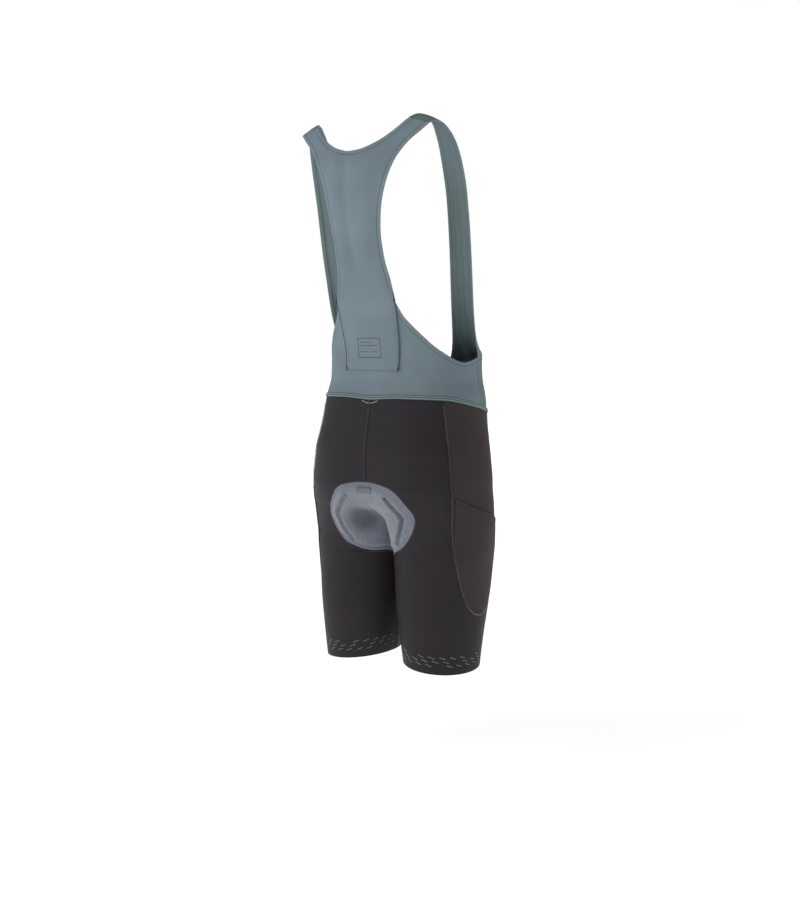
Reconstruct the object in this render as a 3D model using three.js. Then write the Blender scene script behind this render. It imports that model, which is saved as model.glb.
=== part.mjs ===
// Cycling bib shorts in their worn form, hollow, with no wearer.
// Millimetres, +Z up, front towards -Y, wearer's left towards +X.
// Tables give heights above the lowest point of the hems; the finished group is moved so that its
// origin lies between the two shoulder ridges, where the straps hang on the shoulders.

import * as THREE from 'three';

// Driving sizes
const CLOTH = 1.3; // wall of the knitted cloth
const OVERLAY = 1.2; // wall of cloth laid on another panel
const SEAM_GAP = 0.3; // clear distance between neighbouring pieces
const LAID_GAP = 0.9; // the same under a piece laid on another, whose flats differ
const SHOULDER = { y: 103, height: 926 }; // middle of the line between the shoulder ridges
const LEG_AXIS = { x: 80, y: 12 };
const HEM = { height: 20, inward: 0.096, forward: 0.055 }; // hem plane, lower on the outer back
const WAIST_STRIP = { width: 7, wall: 0.9 };
const POCKET_FLAP = { bottom: 524, top: 639, lift: 2.6, bottomHalf: 54, topHalf: 61 };
const SIDE_FRONT_SEAM = 97; // degrees from centre back, round the waist
const FRONT_TOP = { middle: 512, side: 545.2 }; // where the front leaves the torso for the strap
const RIDGE_STEP = 9; // rows of the strap above this one lie on the shoulder
const SIDE_CORNER = 0.6; // the side panel's blunt lower corners
const THIGH_POCKET = { aboveSeam: 3, widest: 45 };
const PAD = {
  wall: 6, gap: 1.15, lowest: 96, centreY: 25, centreHeight: 335, radius: 110,
  edgeTurns: 22, edgeTurned: 50, // between these angles its upper edge becomes its lower edge
};
const NEARLY_ROUND = 179.9; // degrees, just short of the seam between the legs
const NUDGE = 0.5; // step for measuring how the body's surface slopes

// Colours and finishes
const FINISH = {
  bib: { color: 0x70838a, roughness: 0.72, metalness: 0 },
  strip: { color: 0x5f7378, roughness: 0.75, metalness: 0 },
  leg: { color: 0x2f2c2f, roughness: 0.6, metalness: 0 },
  mesh: { color: 0x3a3432, roughness: 0.8, metalness: 0 },
  pad: { color: 0x7d828e, roughness: 0.85, metalness: 0 },
};

// Each half of the body and its leg is an ellipse at every height: its centre, its reach to the
// side, back and front, and how softly it runs into the other half.
const BODY = [
  { height: -20, cx: 82, inner: 61, outer: 63, cy: 16, back: 67, front: 64, blend: 1 },
  { height: 20, cx: 82, inner: 64, outer: 67, cy: 16, back: 71, front: 68, blend: 1 },
  { height: 70, cx: 81, inner: 69, outer: 72, cy: 15, back: 79, front: 78, blend: 1 },
  { height: 126, cx: 80, inner: 75, outer: 78, cy: 13, back: 86, front: 91, blend: 2 },
  { height: 194, cx: 78, inner: 76.5, outer: 84.5, cy: 12, back: 88, front: 101, blend: 4 },
  { height: 218, cx: 74, inner: 73.8, outer: 91.5, cy: 12, back: 89, front: 103, blend: 6 },
  { height: 235, cx: 68, inner: 68.3, outer: 99, cy: 12, back: 90, front: 104, blend: 9 },
  { height: 250, cx: 62, inner: 63.5, outer: 107, cy: 13, back: 92, front: 104, blend: 14 },
  { height: 267, cx: 57, inner: 61, outer: 113, cy: 14, back: 95, front: 104, blend: 24 },
  { height: 285, cx: 54, inner: 72, outer: 116.5, cy: 15, back: 99, front: 104, blend: 36 },
  { height: 301, cx: 52, inner: 90, outer: 118, cy: 16, back: 105, front: 105, blend: 45 },
  { height: 330, cx: 50, inner: 95, outer: 118, cy: 17, back: 111, front: 106, blend: 50 },
  { height: 381, cx: 50, inner: 98, outer: 112, cy: 16, back: 111, front: 106, blend: 50 },
  { height: 432, cx: 46, inner: 98, outer: 105, cy: 12, back: 106, front: 107, blend: 46 },
  { height: 475, cx: 44, inner: 100, outer: 102, cy: 8, back: 102, front: 105, blend: 44 },
  { height: 510, cx: 42, inner: 96, outer: 96, cy: 6, back: 98, front: 101, blend: 44 },
  { height: 550, cx: 42, inner: 95, outer: 95, cy: 5, back: 98, front: 95, blend: 44 },
  { height: 600, cx: 42, inner: 97, outer: 97, cy: 5, back: 108, front: 92, blend: 44 },
  { height: 660, cx: 42, inner: 100, outer: 100, cy: 5, back: 126, front: 90, blend: 44 },
];

// Lower edge of the side panel: height of its seam at each angle round the leg (0 is outwards,
// positive is towards the back).
const SIDE_SEAM = [
  { angle: -57, height: 480 },
  { angle: -53, height: 432 },
  { angle: -50, height: 381 },
  { angle: -47.5, height: 316 },
  { angle: -46.5, height: 262 },
  { angle: -43.5, height: 219 },
  { angle: -40, height: 194 },
  { angle: -34, height: 160 },
  { angle: -26, height: 133 },
  { angle: -14, height: 116 },
  { angle: 0, height: 110 },
  { angle: 14, height: 116 },
  { angle: 26, height: 133 },
  { angle: 34, height: 160 },
  { angle: 40, height: 194 },
  { angle: 43.5, height: 219 },
  { angle: 46.5, height: 262 },
  { angle: 47.5, height: 316 },
  { angle: 50, height: 381 },
  { angle: 53, height: 432 },
  { angle: 57, height: 480 },
];

// Top edge of the thigh pocket over the same angles.
const POCKET_TOP = [
  { angle: -46, height: 262 },
  { angle: 0, height: 286 },
  { angle: 25, height: 300 },
  { angle: 46, height: 318 },
];

// Waist seam: height over the angle round the body from centre back.
const WAIST = [
  { angle: 0, height: 474 },
  { angle: 30, height: 477 },
  { angle: 60, height: 475 },
  { angle: 90, height: 461 },
  { angle: 115, height: 448 },
  { angle: 145, height: 440 },
  { angle: 180, height: 437 },
];

// Armhole edge of the band: height over the angle round the body from centre back.
const ARMHOLE = [
  { angle: 26, height: 639 },
  { angle: 33, height: 612 },
  { angle: 38, height: 600 },
  { angle: 47, height: 581 },
  { angle: 59, height: 559 },
  { angle: 80, height: 537 },
  { angle: 97, height: 545 },
];

// Racerback above the pocket flap: centre line, inner shoulder corner line and armhole edge.
const YOKE = [
  { y: 138, z: 672, kx: 38, ky: 134, kz: 672, ex: 54, ey: 128, ez: 672 },
  { y: 146, z: 704, kx: 35, ky: 143, kz: 704, ex: 49.5, ey: 138, ez: 704 },
  { y: 154, z: 736, kx: 34, ky: 150, kz: 736, ex: 48.5, ey: 146, ez: 736 },
  { y: 160, z: 764, kx: 36, ky: 157, kz: 766, ex: 51.5, ey: 152, ez: 769 },
  { y: 164, z: 791, kx: 40, ky: 160, kz: 796, ex: 57, ey: 155, ez: 801 },
  { y: 165, z: 814, kx: 46, ky: 161, kz: 823, ex: 66, ey: 154, ez: 833 },
  { y: 165, z: 835, kx: 56, ky: 158, kz: 852, ex: 79, ey: 150, ez: 862 },
  { y: 164, z: 856, kx: 71, ky: 149, kz: 884, ex: 99, ey: 141, ez: 889 },
  { y: 162, z: 868, kx: 83, ky: 141, kz: 908, ex: 116, ey: 133, ez: 904 },
  { y: 160, z: 879, kx: 92.5, ky: 131.5, kz: 927.5, ex: 129.5, ey: 126.5, ez: 916.5 },
];

// Front: neckline edge and armhole edge of each row, and how far the row bows forward.
const FRONT = [
  { ix: 26, iy: -90, iz: 532, ex: 138.6, ey: -9, ez: 551, bow: 33 },
  { ix: 50, iy: -62, iz: 549, ex: 143, ey: 4, ez: 564, bow: 22 },
  { ix: 72, iy: -32, iz: 577, ex: 147, ey: 16, ez: 591, bow: 12 },
  { ix: 88, iy: -4, iz: 622, ex: 150, ey: 26, ez: 630, bow: 6 },
  { ix: 96, iy: 12, iz: 675, ex: 152.5, ey: 34, ez: 678, bow: 4 },
  { ix: 101, iy: 23, iz: 725, ex: 154.5, ey: 42, ez: 726, bow: 3 },
  { ix: 104, iy: 33, iz: 776, ex: 155.5, ey: 50, ez: 776, bow: 3 },
  { ix: 107, iy: 45, iz: 821, ex: 155.5, ey: 58, ez: 819, bow: 3 },
  { ix: 108, iy: 58, iz: 860, ex: 154, ey: 68, ez: 856, bow: 3 },
  { ix: 110, iy: 73, iz: 893, ex: 150, ey: 79, ez: 887, bow: 3 },
  { ix: 110, iy: 88, iz: 919, ex: 144, ey: 90, ez: 907, bow: 3 },
  { ix: 107, iy: 103, iz: 932, ex: 138, ey: 102, ez: 918, bow: 2 },
  { ix: 101, iy: 117, iz: 934, ex: 134, ey: 114, ez: 921, bow: 2 },
  { ix: 93, iy: 130, iz: 929, ex: 130, ey: 125, ez: 917, bow: 1 },
];

// Seat pad: half width, measured over the surface, at each angle round the pelvis (0 is straight
// back, 90 straight down).
const PAD_WIDTH = [
  { angle: -1, half: 0.2 },
  { angle: -0.6, half: 14 },
  { angle: 0.4, half: 27 },
  { angle: 2, half: 41 },
  { angle: 4, half: 52 },
  { angle: 8, half: 62.5 },
  { angle: 14, half: 71.5 },
  { angle: 21, half: 79.5 },
  { angle: 30, half: 89 },
  { angle: 38, half: 93.5 },
  { angle: 46, half: 91.5 },
  { angle: 53, half: 84.5 },
  { angle: 60, half: 71.5 },
  { angle: 68, half: 57.5 },
  { angle: 80, half: 36 },
  { angle: 96, half: 20 },
  { angle: 105, half: 22 },
  { angle: 115, half: 30 },
  { angle: 125, half: 38 },
  { angle: 134, half: 38 },
  { angle: 139, half: 28 },
  { angle: 142, half: 12 },
  { angle: 143, half: 0.2 },
];

// Curves through tables

// Monotone cubic through the rows of a table: one column over another.
const curve = (rows, across, value) => {
  const t = rows.map((row) => row[across]);
  const v = rows.map((row) => row[value]);
  const last = t.length - 1;
  const slope = t.slice(1).map((next, i) => (v[i + 1] - v[i]) / (next - t[i]));
  const tangent = t.map((_, i) => {
    if (i === 0) return slope[0];
    if (i === last) return slope[last - 1];
    const [before, after] = [slope[i - 1], slope[i]];
    return before * after <= 0 ? 0 : (2 * before * after) / (before + after);
  });
  return (x) => {
    const at = Math.min(Math.max(x, t[0]), t[last]);
    let i = 0;
    while (i < last - 1 && at > t[i + 1]) i += 1;
    const span = t[i + 1] - t[i];
    const s = (at - t[i]) / span;
    const rise = s * s * (3 - 2 * s);
    return v[i] + (v[i + 1] - v[i]) * rise
      + span * (s * (1 - s) * (1 - s) * tangent[i] - s * s * (1 - s) * tangent[i + 1]);
  };
};

const columns = (rows, across) => {
  const found = {};
  for (const key of Object.keys(rows[0])) found[key] = curve(rows, across, key);
  return found;
};

const body = columns(BODY, 'height');
const sideSeam = curve(SIDE_SEAM, 'angle', 'height');
const pocketTop = curve(POCKET_TOP, 'angle', 'height');
const waistSeam = curve(WAIST, 'angle', 'height');
const armhole = curve(ARMHOLE, 'angle', 'height');
const padHalf = curve(PAD_WIDTH, 'angle', 'half');

const radians = (degrees) => (degrees * Math.PI) / 180;
const mix = (a, b, t) => a + (b - a) * t;
const spread = (count, from, to) =>
  Array.from({ length: count }, (_, i) => mix(from, to, i / (count - 1)));

// The body as a field: negative inside, zero on the outer face of the cloth.
const smoothMin = (a, b, blend) => {
  const overlap = Math.max(blend - Math.abs(a - b), 0) / blend;
  return Math.min(a, b) - (overlap * overlap * blend) / 4;
};

const bodyField = (x, y, z) => {
  const [cx, cy, inner, outer] = [body.cx(z), body.cy(z), body.inner(z), body.outer(z)];
  const depth = y > cy ? body.back(z) : body.front(z);
  const size = (inner + outer) / 2;
  const half = (atX) => {
    const side = atX > cx ? outer : inner;
    return (Math.hypot((atX - cx) / side, (y - cy) / depth) - 1) * size;
  };
  return smoothMin(half(x), half(-x), body.blend(z));
};

// First crossing of the field from the inside out, along a straight line.
const reach = (field, limit = 260) => {
  const step = 6;
  let far = step;
  while (field(far) < 0 && far < limit) far += step;
  let near = far - step;
  for (let i = 0; i < 30; i += 1) {
    const middle = (near + far) / 2;
    if (field(middle) < 0) near = middle;
    else far = middle;
  }
  return far;
};

// Outward direction of the body's surface at a point on it.
const outward = (p) => {
  const h = NUDGE;
  const { x, y, z } = p;
  return new THREE.Vector3(
    bodyField(x + h, y, z) - bodyField(x - h, y, z),
    bodyField(x, y + h, z) - bodyField(x, y - h, z),
    bodyField(x, y, z + h) - bodyField(x, y, z - h),
  ).normalize();
};

const raise = (p, proud) => (proud ? p.addScaledVector(outward(p), proud) : p);

// Point of the left leg's surface at an angle round the leg and a height.
const legPoint = (degrees, z, proud = 0) => {
  const [c, s] = [Math.cos(radians(degrees)), Math.sin(radians(degrees))];
  const radius = reach((r) => bodyField(LEG_AXIS.x + r * c, LEG_AXIS.y + r * s, z));
  const p = new THREE.Vector3(LEG_AXIS.x + radius * c, LEG_AXIS.y + radius * s, z);
  return raise(p, proud);
};

// Point of the torso at an angle round the body from centre back, towards the left side.
const torsoPoint = (degrees, z, proud = 0) => {
  const [s, c] = [Math.sin(radians(degrees)), Math.cos(radians(degrees))];
  const cy = body.cy(z);
  const radius = reach((r) => bodyField(r * s, cy + r * c, z));
  return raise(new THREE.Vector3(radius * s, cy + radius * c, z), proud);
};

// Height where a surface meets the waist seam.
const waistHeight = (pointAt) => {
  let z = WAIST[0].height;
  for (let i = 0; i < 8; i += 1) {
    const p = pointAt(z);
    z = waistSeam((Math.atan2(Math.abs(p.x), p.y - body.cy(z)) * 180) / Math.PI);
  }
  return z;
};

const hemHeight = (pointAt) => {
  let z = HEM.height;
  for (let i = 0; i < 8; i += 1) {
    const p = pointAt(z);
    z = HEM.height + HEM.inward * (LEG_AXIS.x - p.x) - HEM.forward * (p.y - LEG_AXIS.y);
  }
  return z;
};

// Solids from a grid of outer points

const gridNormals = (grid) => grid.map((row, i) => row.map((_, j) => {
  const up = grid[Math.min(i + 1, grid.length - 1)][j].clone().sub(grid[Math.max(i - 1, 0)][j]);
  const along = row[Math.min(j + 1, row.length - 1)].clone().sub(row[Math.max(j - 1, 0)]);
  return along.cross(up).normalize();
}));

// A wall over a grid whose columns run anticlockwise seen from outside above: it lies inside the
// points by its thickness. Rows on the body take their outward direction from it, the others from
// the grid itself. A closed grid has the same points in its first and last column.
const wall = (grid, thickness, onBody = () => true, closed = false) => {
  const found = gridNormals(grid);
  const normals = grid.map((row, i) => (onBody(i) ? row.map(outward) : found[i]));
  const rows = grid.length;
  const across = grid[0].length - (closed ? 1 : 0);
  const positions = [];
  for (const side of [0, 1]) {
    for (let i = 0; i < rows; i += 1) {
      for (let j = 0; j < across; j += 1) {
        const p = grid[i][j].clone().addScaledVector(normals[i][j], -side * thickness);
        positions.push(p.x, p.y, p.z);
      }
    }
  }
  const at = (side, i, j) => side * rows * across + i * across + (j % across);
  const index = [];
  const quad = (a, b, c, d) => index.push(a, b, c, a, c, d);
  const cells = closed ? across : across - 1;
  for (let i = 0; i < rows - 1; i += 1) {
    for (let j = 0; j < cells; j += 1) {
      quad(at(0, i, j), at(0, i, j + 1), at(0, i + 1, j + 1), at(0, i + 1, j));
      quad(at(1, i, j), at(1, i + 1, j), at(1, i + 1, j + 1), at(1, i, j + 1));
    }
  }
  for (let j = 0; j < cells; j += 1) {
    quad(at(1, 0, j), at(1, 0, j + 1), at(0, 0, j + 1), at(0, 0, j));
    quad(at(0, rows - 1, j), at(0, rows - 1, j + 1), at(1, rows - 1, j + 1), at(1, rows - 1, j));
  }
  if (!closed) {
    for (let i = 0; i < rows - 1; i += 1) {
      quad(at(0, i, 0), at(0, i + 1, 0), at(1, i + 1, 0), at(1, i, 0));
      quad(at(1, i, cells), at(1, i + 1, cells), at(0, i + 1, cells), at(0, i, cells));
    }
  }
  const geometry = new THREE.BufferGeometry();
  geometry.setAttribute('position', new THREE.Float32BufferAttribute(positions, 3));
  geometry.setIndex(index);
  return geometry;
};

const mirrored = (geometry) => {
  const copy = geometry.clone();
  copy.applyMatrix4(new THREE.Matrix4().makeScale(-1, 1, 1));
  const index = Array.from(geometry.index.array);
  for (let i = 0; i < index.length; i += 3) {
    [index[i + 1], index[i + 2]] = [index[i + 2], index[i + 1]];
  }
  copy.setIndex(index);
  return copy;
};

const garment = new THREE.Group();
garment.position.set(0, -SHOULDER.y, -SHOULDER.height);

const addPiece = (name, geometry, finish) => {
  geometry.computeVertexNormals();
  const mesh = new THREE.Mesh(geometry, new THREE.MeshStandardMaterial(FINISH[finish]));
  mesh.name = name;
  garment.add(mesh);
};

const addPair = (name, geometry, finish) => {
  addPiece(`${name}_left`, geometry, finish);
  addPiece(`${name}_right`, mirrored(geometry), finish);
};

// Angle round the leg where its surface reaches the middle of the body at this height, at the
// back (side 1) or the front (side -1); below the crotch it is the inseam.
const riseAngle = (z, side) => {
  let [out, inner] = [SIDE_EDGE, NEARLY_ROUND];
  for (let i = 0; i < 36; i += 1) {
    const middle = (out + inner) / 2;
    if (legPoint(side * middle, z).x > SEAM_GAP / 2) out = middle;
    else inner = middle;
  }
  return side * out;
};

// Leg panels: one cloth round the leg from the rise seam and inseam, notched for the side panel.
const SIDE_ANGLES = SIDE_SEAM.map((row) => row.angle);
const SIDE_EDGE = SIDE_ANGLES[SIDE_ANGLES.length - 1];
const SEAM_ANGLE = 0.3; // degrees that the side panel stays short of its steep seams

// Point on the body's surface, walked out over it from the middle in the plane that stands at this
// angle round the pelvis.
const overSeat = (angle, distance) => {
  const [c, s] = [Math.cos(radians(angle)), Math.sin(radians(angle))];
  const value = (x, r) => bodyField(x, PAD.centreY + r * c, PAD.centreHeight - r * s);
  let [x, r] = [0, reach((q) => value(0, q))];
  const steps = Math.max(1, Math.round(distance / 2));
  for (let i = 0; i < steps; i += 1) {
    const dx = (value(x + NUDGE, r) - value(x - NUDGE, r)) / (2 * NUDGE);
    const dr = (value(x, r + NUDGE) - value(x, r - NUDGE)) / (2 * NUDGE);
    const size = Math.hypot(dx, dr);
    x += (dr / size) * (distance / steps);
    r -= (dx / size) * (distance / steps);
    const off = value(x, r);
    x -= (off * dx) / (size * size);
    r -= (off * dr) / (size * size);
  }
  return new THREE.Vector3(x, PAD.centreY + r * c, PAD.centreHeight - r * s);
};

// The hole for the seat pad: its edge on the left leg, from the lowest point up to the middle of
// the back (side 1) or of the front (side -1).
const padEdge = (side) => {
  const end = side > 0 ? PAD_WIDTH[0].angle : PAD_WIDTH.at(-1).angle;
  return spread(60, PAD.lowest, end).map((angle) => overSeat(angle, padHalf(angle)));
};
const PAD_EDGE = { back: padEdge(1), front: padEdge(-1) };

// Angle round the leg where the leg panel ends at this height: at the rise seam, at the hole for
// the pad or, below it, at the inseam.
const innerAngle = (z, side) => {
  const edge = side > 0 ? PAD_EDGE.back : PAD_EDGE.front;
  if (z <= edge[0].z) return side * NEARLY_ROUND;
  const i = edge.findIndex((p) => p.z > z);
  if (i < 0) return riseAngle(z, side);
  const p = edge[i - 1].clone().lerp(edge[i], (z - edge[i - 1].z) / (edge[i].z - edge[i - 1].z));
  const degrees = (Math.atan2(p.y - LEG_AXIS.y, p.x - LEG_AXIS.x) * 180) / Math.PI;
  return side * Math.min(NEARLY_ROUND, (side * degrees + 360) % 360);
};

// Rows of the leg panel from the hem up, each from the front edge round the outside to the back.
const legGrid = () => {
  const shares = [0.18, 0.38, 0.56, 0.72, 0.86, 1];
  const columnsAt = [
    ...shares.map((share) => (z) => mix(-SIDE_EDGE, innerAngle(z, -1), share)).reverse(),
    ...SIDE_ANGLES.map((angle) => () => angle),
    ...shares.map((share) => (z) => mix(SIDE_EDGE, innerAngle(z, 1), share)),
  ];
  const ends = columnsAt.map((angleAt) => {
    const pointAt = (z) => legPoint(angleAt(z), z);
    const seam = Math.abs(angleAt(0)) <= SIDE_EDGE ? sideSeam(angleAt(0)) : BODY.at(-1).height;
    return [hemHeight(pointAt), Math.min(waistHeight(pointAt), seam) - SEAM_GAP / 2];
  });
  const [low, high] = ends.at(-1);
  const [padLow, padTop] = [PAD_EDGE.back[0].z, PAD_EDGE.back.at(-1).z];
  const [lowFront, highFront] = ends[0];
  const atFront = (z) => mix(low, high, (z - lowFront) / (highFront - lowFront));
  const frontTop = PAD_EDGE.front.at(-1).z;
  const heights = [
    ...[0, 0.22, 0.5, 0.75, 0.92].map((share) => mix(low, padLow - 1, share)),
    ...[0, 0.03, 0.09, 0.18, 0.29, 0.42, 0.54, 0.68, 0.8, 0.9, 0.96, 0.99, 1]
      .map((share) => mix(padLow, padTop, share)),
    ...[6, 1.5, 0].map((below) => atFront(frontTop - below)),
    ...[0.01, 0.3, 0.6, 0.8, 1].map((share) => mix(padTop, high, share)),
  ].sort((a, b) => a - b);
  return heights.map((height) => columnsAt.map((angleAt, j) => {
    const z = mix(ends[j][0], ends[j][1], (height - low) / (high - low));
    return legPoint(angleAt(z), z);
  }));
};
const LEG_GRID = legGrid();

const sidePanel = () => {
  const grid = spread(10, 0, 1).map((t) => SIDE_ANGLES.map((onSeam) => {
    const inset = Math.abs(onSeam) === SIDE_EDGE ? SIDE_CORNER : 0;
    const angle = onSeam * (1 - (SEAM_ANGLE + inset) / Math.max(20, Math.abs(onSeam)));
    const top = waistHeight((z) => legPoint(angle, z)) - SEAM_GAP / 2;
    const bottom = Math.min(sideSeam(onSeam) + SEAM_GAP / 2, top - 2 * SIDE_CORNER);
    return legPoint(angle, mix(bottom, top, t));
  }));
  return wall(grid, CLOTH);
};

const thighPocket = () => {
  const angles = SIDE_ANGLES.filter((angle) => Math.abs(angle) < THIGH_POCKET.widest);
  const grid = spread(8, 0, 1).map((t) => angles.map((angle) => {
    const bottom = sideSeam(angle) + THIGH_POCKET.aboveSeam;
    return legPoint(angle, mix(bottom, pocketTop(angle), t), OVERLAY + LAID_GAP);
  }));
  return wall(grid, OVERLAY);
};

// Waist band with both wings: back and sides up to the armhole edge, and the inner face of the
// pocket in the middle.
const band = () => {
  const angles = spread(31, -SIDE_FRONT_SEAM + 0.1, SIDE_FRONT_SEAM - 0.1);
  const grid = spread(9, 0, 1).map((t) => angles.map((degrees) => {
    const bottom = waistHeight((z) => torsoPoint(degrees, z)) + SEAM_GAP / 2;
    const off = Math.abs(degrees);
    const top = off < ARMHOLE[0].angle ? ARMHOLE[0].height : armhole(off);
    return torsoPoint(degrees, mix(bottom, top, t));
  })).map((row) => row.reverse());
  return wall(grid, CLOTH);
};

// Racerback yoke with the pocket flap below it.
const yoke = () => {
  const rack = columns(YOKE.map((row, step) => ({ ...row, step })), 'step');
  const knee = 0.7;
  const across = spread(13, -1, 1);
  const flap = spread(7, 0, 1).map((t) => across.map((u) => {
    const z = mix(POCKET_FLAP.bottom, POCKET_FLAP.top, t);
    const x = u * mix(POCKET_FLAP.bottomHalf, POCKET_FLAP.topHalf, t);
    const cy = body.cy(z);
    const y = cy + reach((r) => bodyField(x, cy + r, z)) + POCKET_FLAP.lift;
    return new THREE.Vector3(x, y, z);
  }));
  const rackRows = spread(17, 0, YOKE.length - 1).map((step) => across.map((u) => {
    const off = Math.abs(u);
    const side = Math.sign(u);
    const [y, z] = [rack.y(step), rack.z(step)];
    const [kx, ky, kz] = [rack.kx(step), rack.ky(step), rack.kz(step)];
    if (off <= knee) {
      const s = off / knee;
      return new THREE.Vector3(side * kx * s, mix(y, ky, s * s), mix(z, kz, s * s));
    }
    const s = (off - knee) / (1 - knee);
    return new THREE.Vector3(side * mix(kx, rack.ex(step), s), mix(ky, rack.ey(step), s),
      mix(kz, rack.ez(step), s));
  }));
  return wall([...flap, ...rackRows].map((row) => row.reverse()), CLOTH, (i) => i < flap.length);
};

// Half front with its shoulder strap.
const front = () => {
  const lowest = spread(5, 0, 1).map((t) => spread(8, 0, 1).map((u) => {
    const degrees = mix(NEARLY_ROUND, SIDE_FRONT_SEAM + 0.1, u);
    const bottom = waistHeight((z) => torsoPoint(degrees, z)) + SEAM_GAP / 2;
    const top = mix(FRONT_TOP.middle, FRONT_TOP.side, u);
    return torsoPoint(degrees, mix(bottom, top, t));
  }));
  const rack = columns(FRONT.map((row, step) => ({ ...row, step })), 'step');
  const strap = spread(22, 0, FRONT.length - 1).map((step) => {
    const inner = new THREE.Vector3(rack.ix(step), rack.iy(step), rack.iz(step));
    const outer = new THREE.Vector3(rack.ex(step), rack.ey(step), rack.ez(step));
    const chord = outer.clone().sub(inner);
    const forward = new THREE.Vector3(chord.y, -chord.x, 0).normalize();
    if (step > RIDGE_STEP) forward.set(0, 0, 1);
    return spread(8, 0, 1).map((u) => inner.clone().lerp(outer, u)
      .addScaledVector(forward, rack.bow(step) * 4 * u * (1 - u)));
  });
  return wall([...lowest, ...strap], CLOTH, (i) => i < lowest.length);
};

const waistStrip = () => {
  const angles = spread(55, 0, 360);
  const grid = spread(2, 0, 1).map((t) => angles.map((degrees) => {
    const low = waistHeight((z) => torsoPoint(degrees, z)) + SEAM_GAP / 2;
    return torsoPoint(degrees, low + t * WAIST_STRIP.width, LAID_GAP + WAIST_STRIP.wall);
  })).map((row) => row.reverse());
  return wall(grid, WAIST_STRIP.wall, () => true, true);
};

// Seat pad: rows fan round the pelvis from the seat under the crotch to the front. They end at the
// edge points of the hole in the leg panels, a little short of them.
const seatPad = () => {
  const angleOf = (p) => {
    const degrees = Math.atan2(PAD.centreHeight - p.z, p.y - PAD.centreY) * (180 / Math.PI);
    return (degrees + 360) % 360;
  };
  const isHole = (angle) => angle > PAD_WIDTH[0].angle && angle < PAD_WIDTH.at(-1).angle;
  const sideOf = (column, lowest) => {
    const angles = LEG_GRID.map((row) => angleOf(row.at(column))).filter(isHole);
    return angles.filter((angle) => Math.sign(angle - PAD.lowest) === lowest
      && Math.abs(angle - PAD.lowest) > 1);
  };
  const short = (PAD.gap / PAD.radius) * (180 / Math.PI);
  const tip = 2 * short;
  const turned = (angle) => {
    const share = (angle - PAD.edgeTurns) / (PAD.edgeTurned - PAD.edgeTurns);
    return short * (1 - 2 * Math.min(Math.max(share, 0), 1));
  };
  const angles = [PAD_WIDTH[0].angle + tip, ...sideOf(-1, -1), PAD.lowest, ...sideOf(0, 1),
    PAD_WIDTH.at(-1).angle - tip].sort((a, b) => a - b);
  const grid = angles.map((angle) => spread(13, -1, 1).map((u) => {
    const distance = Math.abs(u) * Math.max(padHalf(angle) - PAD.gap, 1);
    const p = overSeat(angle + turned(angle), distance);
    return u < 0 ? p.setX(-p.x) : p;
  }).reverse());
  return wall(grid.reverse(), PAD.wall);
};

addPair('leg', wall(LEG_GRID, CLOTH), 'leg');
addPair('side_panel', sidePanel(), 'mesh');
addPair('thigh_pocket', thighPocket(), 'mesh');
addPiece('seat_pad', seatPad(), 'pad');
addPiece('waist_seam_strip', waistStrip(), 'strip');
addPiece('back_band', band(), 'bib');
addPiece('back_yoke', yoke(), 'bib');
addPair('front', front(), 'bib');

export default garment;
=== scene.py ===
"""The looks of a pair of cycling bib shorts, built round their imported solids.

Tables and lengths in the shaping code are in millimetres, with heights above the lowest hem, as
the garment was measured. Meshes are in metres in the frame of the solids.
"""

import math
from functools import partial

import bpy
import numpy as np
from bpy.props import FloatProperty, FloatVectorProperty, PointerProperty
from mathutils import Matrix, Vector
from mathutils.kdtree import KDTree


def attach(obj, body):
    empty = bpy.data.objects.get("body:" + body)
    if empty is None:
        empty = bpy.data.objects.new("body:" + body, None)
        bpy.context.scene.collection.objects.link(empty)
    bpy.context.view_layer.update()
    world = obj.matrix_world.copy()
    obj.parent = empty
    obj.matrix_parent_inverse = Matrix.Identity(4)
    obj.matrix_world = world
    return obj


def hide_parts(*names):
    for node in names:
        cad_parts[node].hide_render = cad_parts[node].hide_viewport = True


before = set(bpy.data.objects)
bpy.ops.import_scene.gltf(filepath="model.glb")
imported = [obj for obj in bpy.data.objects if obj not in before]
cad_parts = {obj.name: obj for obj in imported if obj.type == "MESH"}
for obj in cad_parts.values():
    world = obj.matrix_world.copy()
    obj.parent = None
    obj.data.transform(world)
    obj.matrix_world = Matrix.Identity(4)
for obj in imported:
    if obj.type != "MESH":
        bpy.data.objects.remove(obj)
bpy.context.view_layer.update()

bl_info = {
    "name": "Bib Shorts Looks",
    "version": (1, 0, 0),
    "blender": (4, 5, 0),
    "location": "View3D > Sidebar > Bib Shorts",
    "description": "Builds the cloth, seams, pad and studio for a pair of cycling bib shorts",
    "category": "Object",
}

MM = 0.001

# Driving sizes, in millimetres
SHOULDER = (0.0, 103.0, 926.0)  # the frame's origin, above the lowest hem
LEG_AXIS = (80.0, 12.0)
HEM = {"height": 20.0, "inward": 0.096, "forward": 0.055}
WAIST_STRIP = {"width": 7.0, "proud": 1.6, "wall": 0.9}
POCKET_FLAP = {"bottom": 524.0, "top": 639.0, "lift": 2.6, "bottom_half": 54.0, "top_half": 61.0}
NEEDLE = 0.86  # where a hem is stitched, as a share of its width
SIDE_EDGE = 57.0  # degrees round the leg where the side panel ends at the waist
SIDE_FRONT_SEAM = 97.0  # degrees round the body from centre back
FRONT_TOP = (512.0, 545.2)  # where the front leaves the torso: middle, side
RIDGE_STEP = 9  # rows of the strap above this one lie on the shoulder
PAD = {
    "lowest": 96.0, "centre_y": 25.0, "centre_height": 335.0, "under": 5.2, "reach": 112,
    "radius": 112.0,
}
PAD_TURN = math.radians(1) * PAD["radius"]  # length over the pad of one degree
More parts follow.
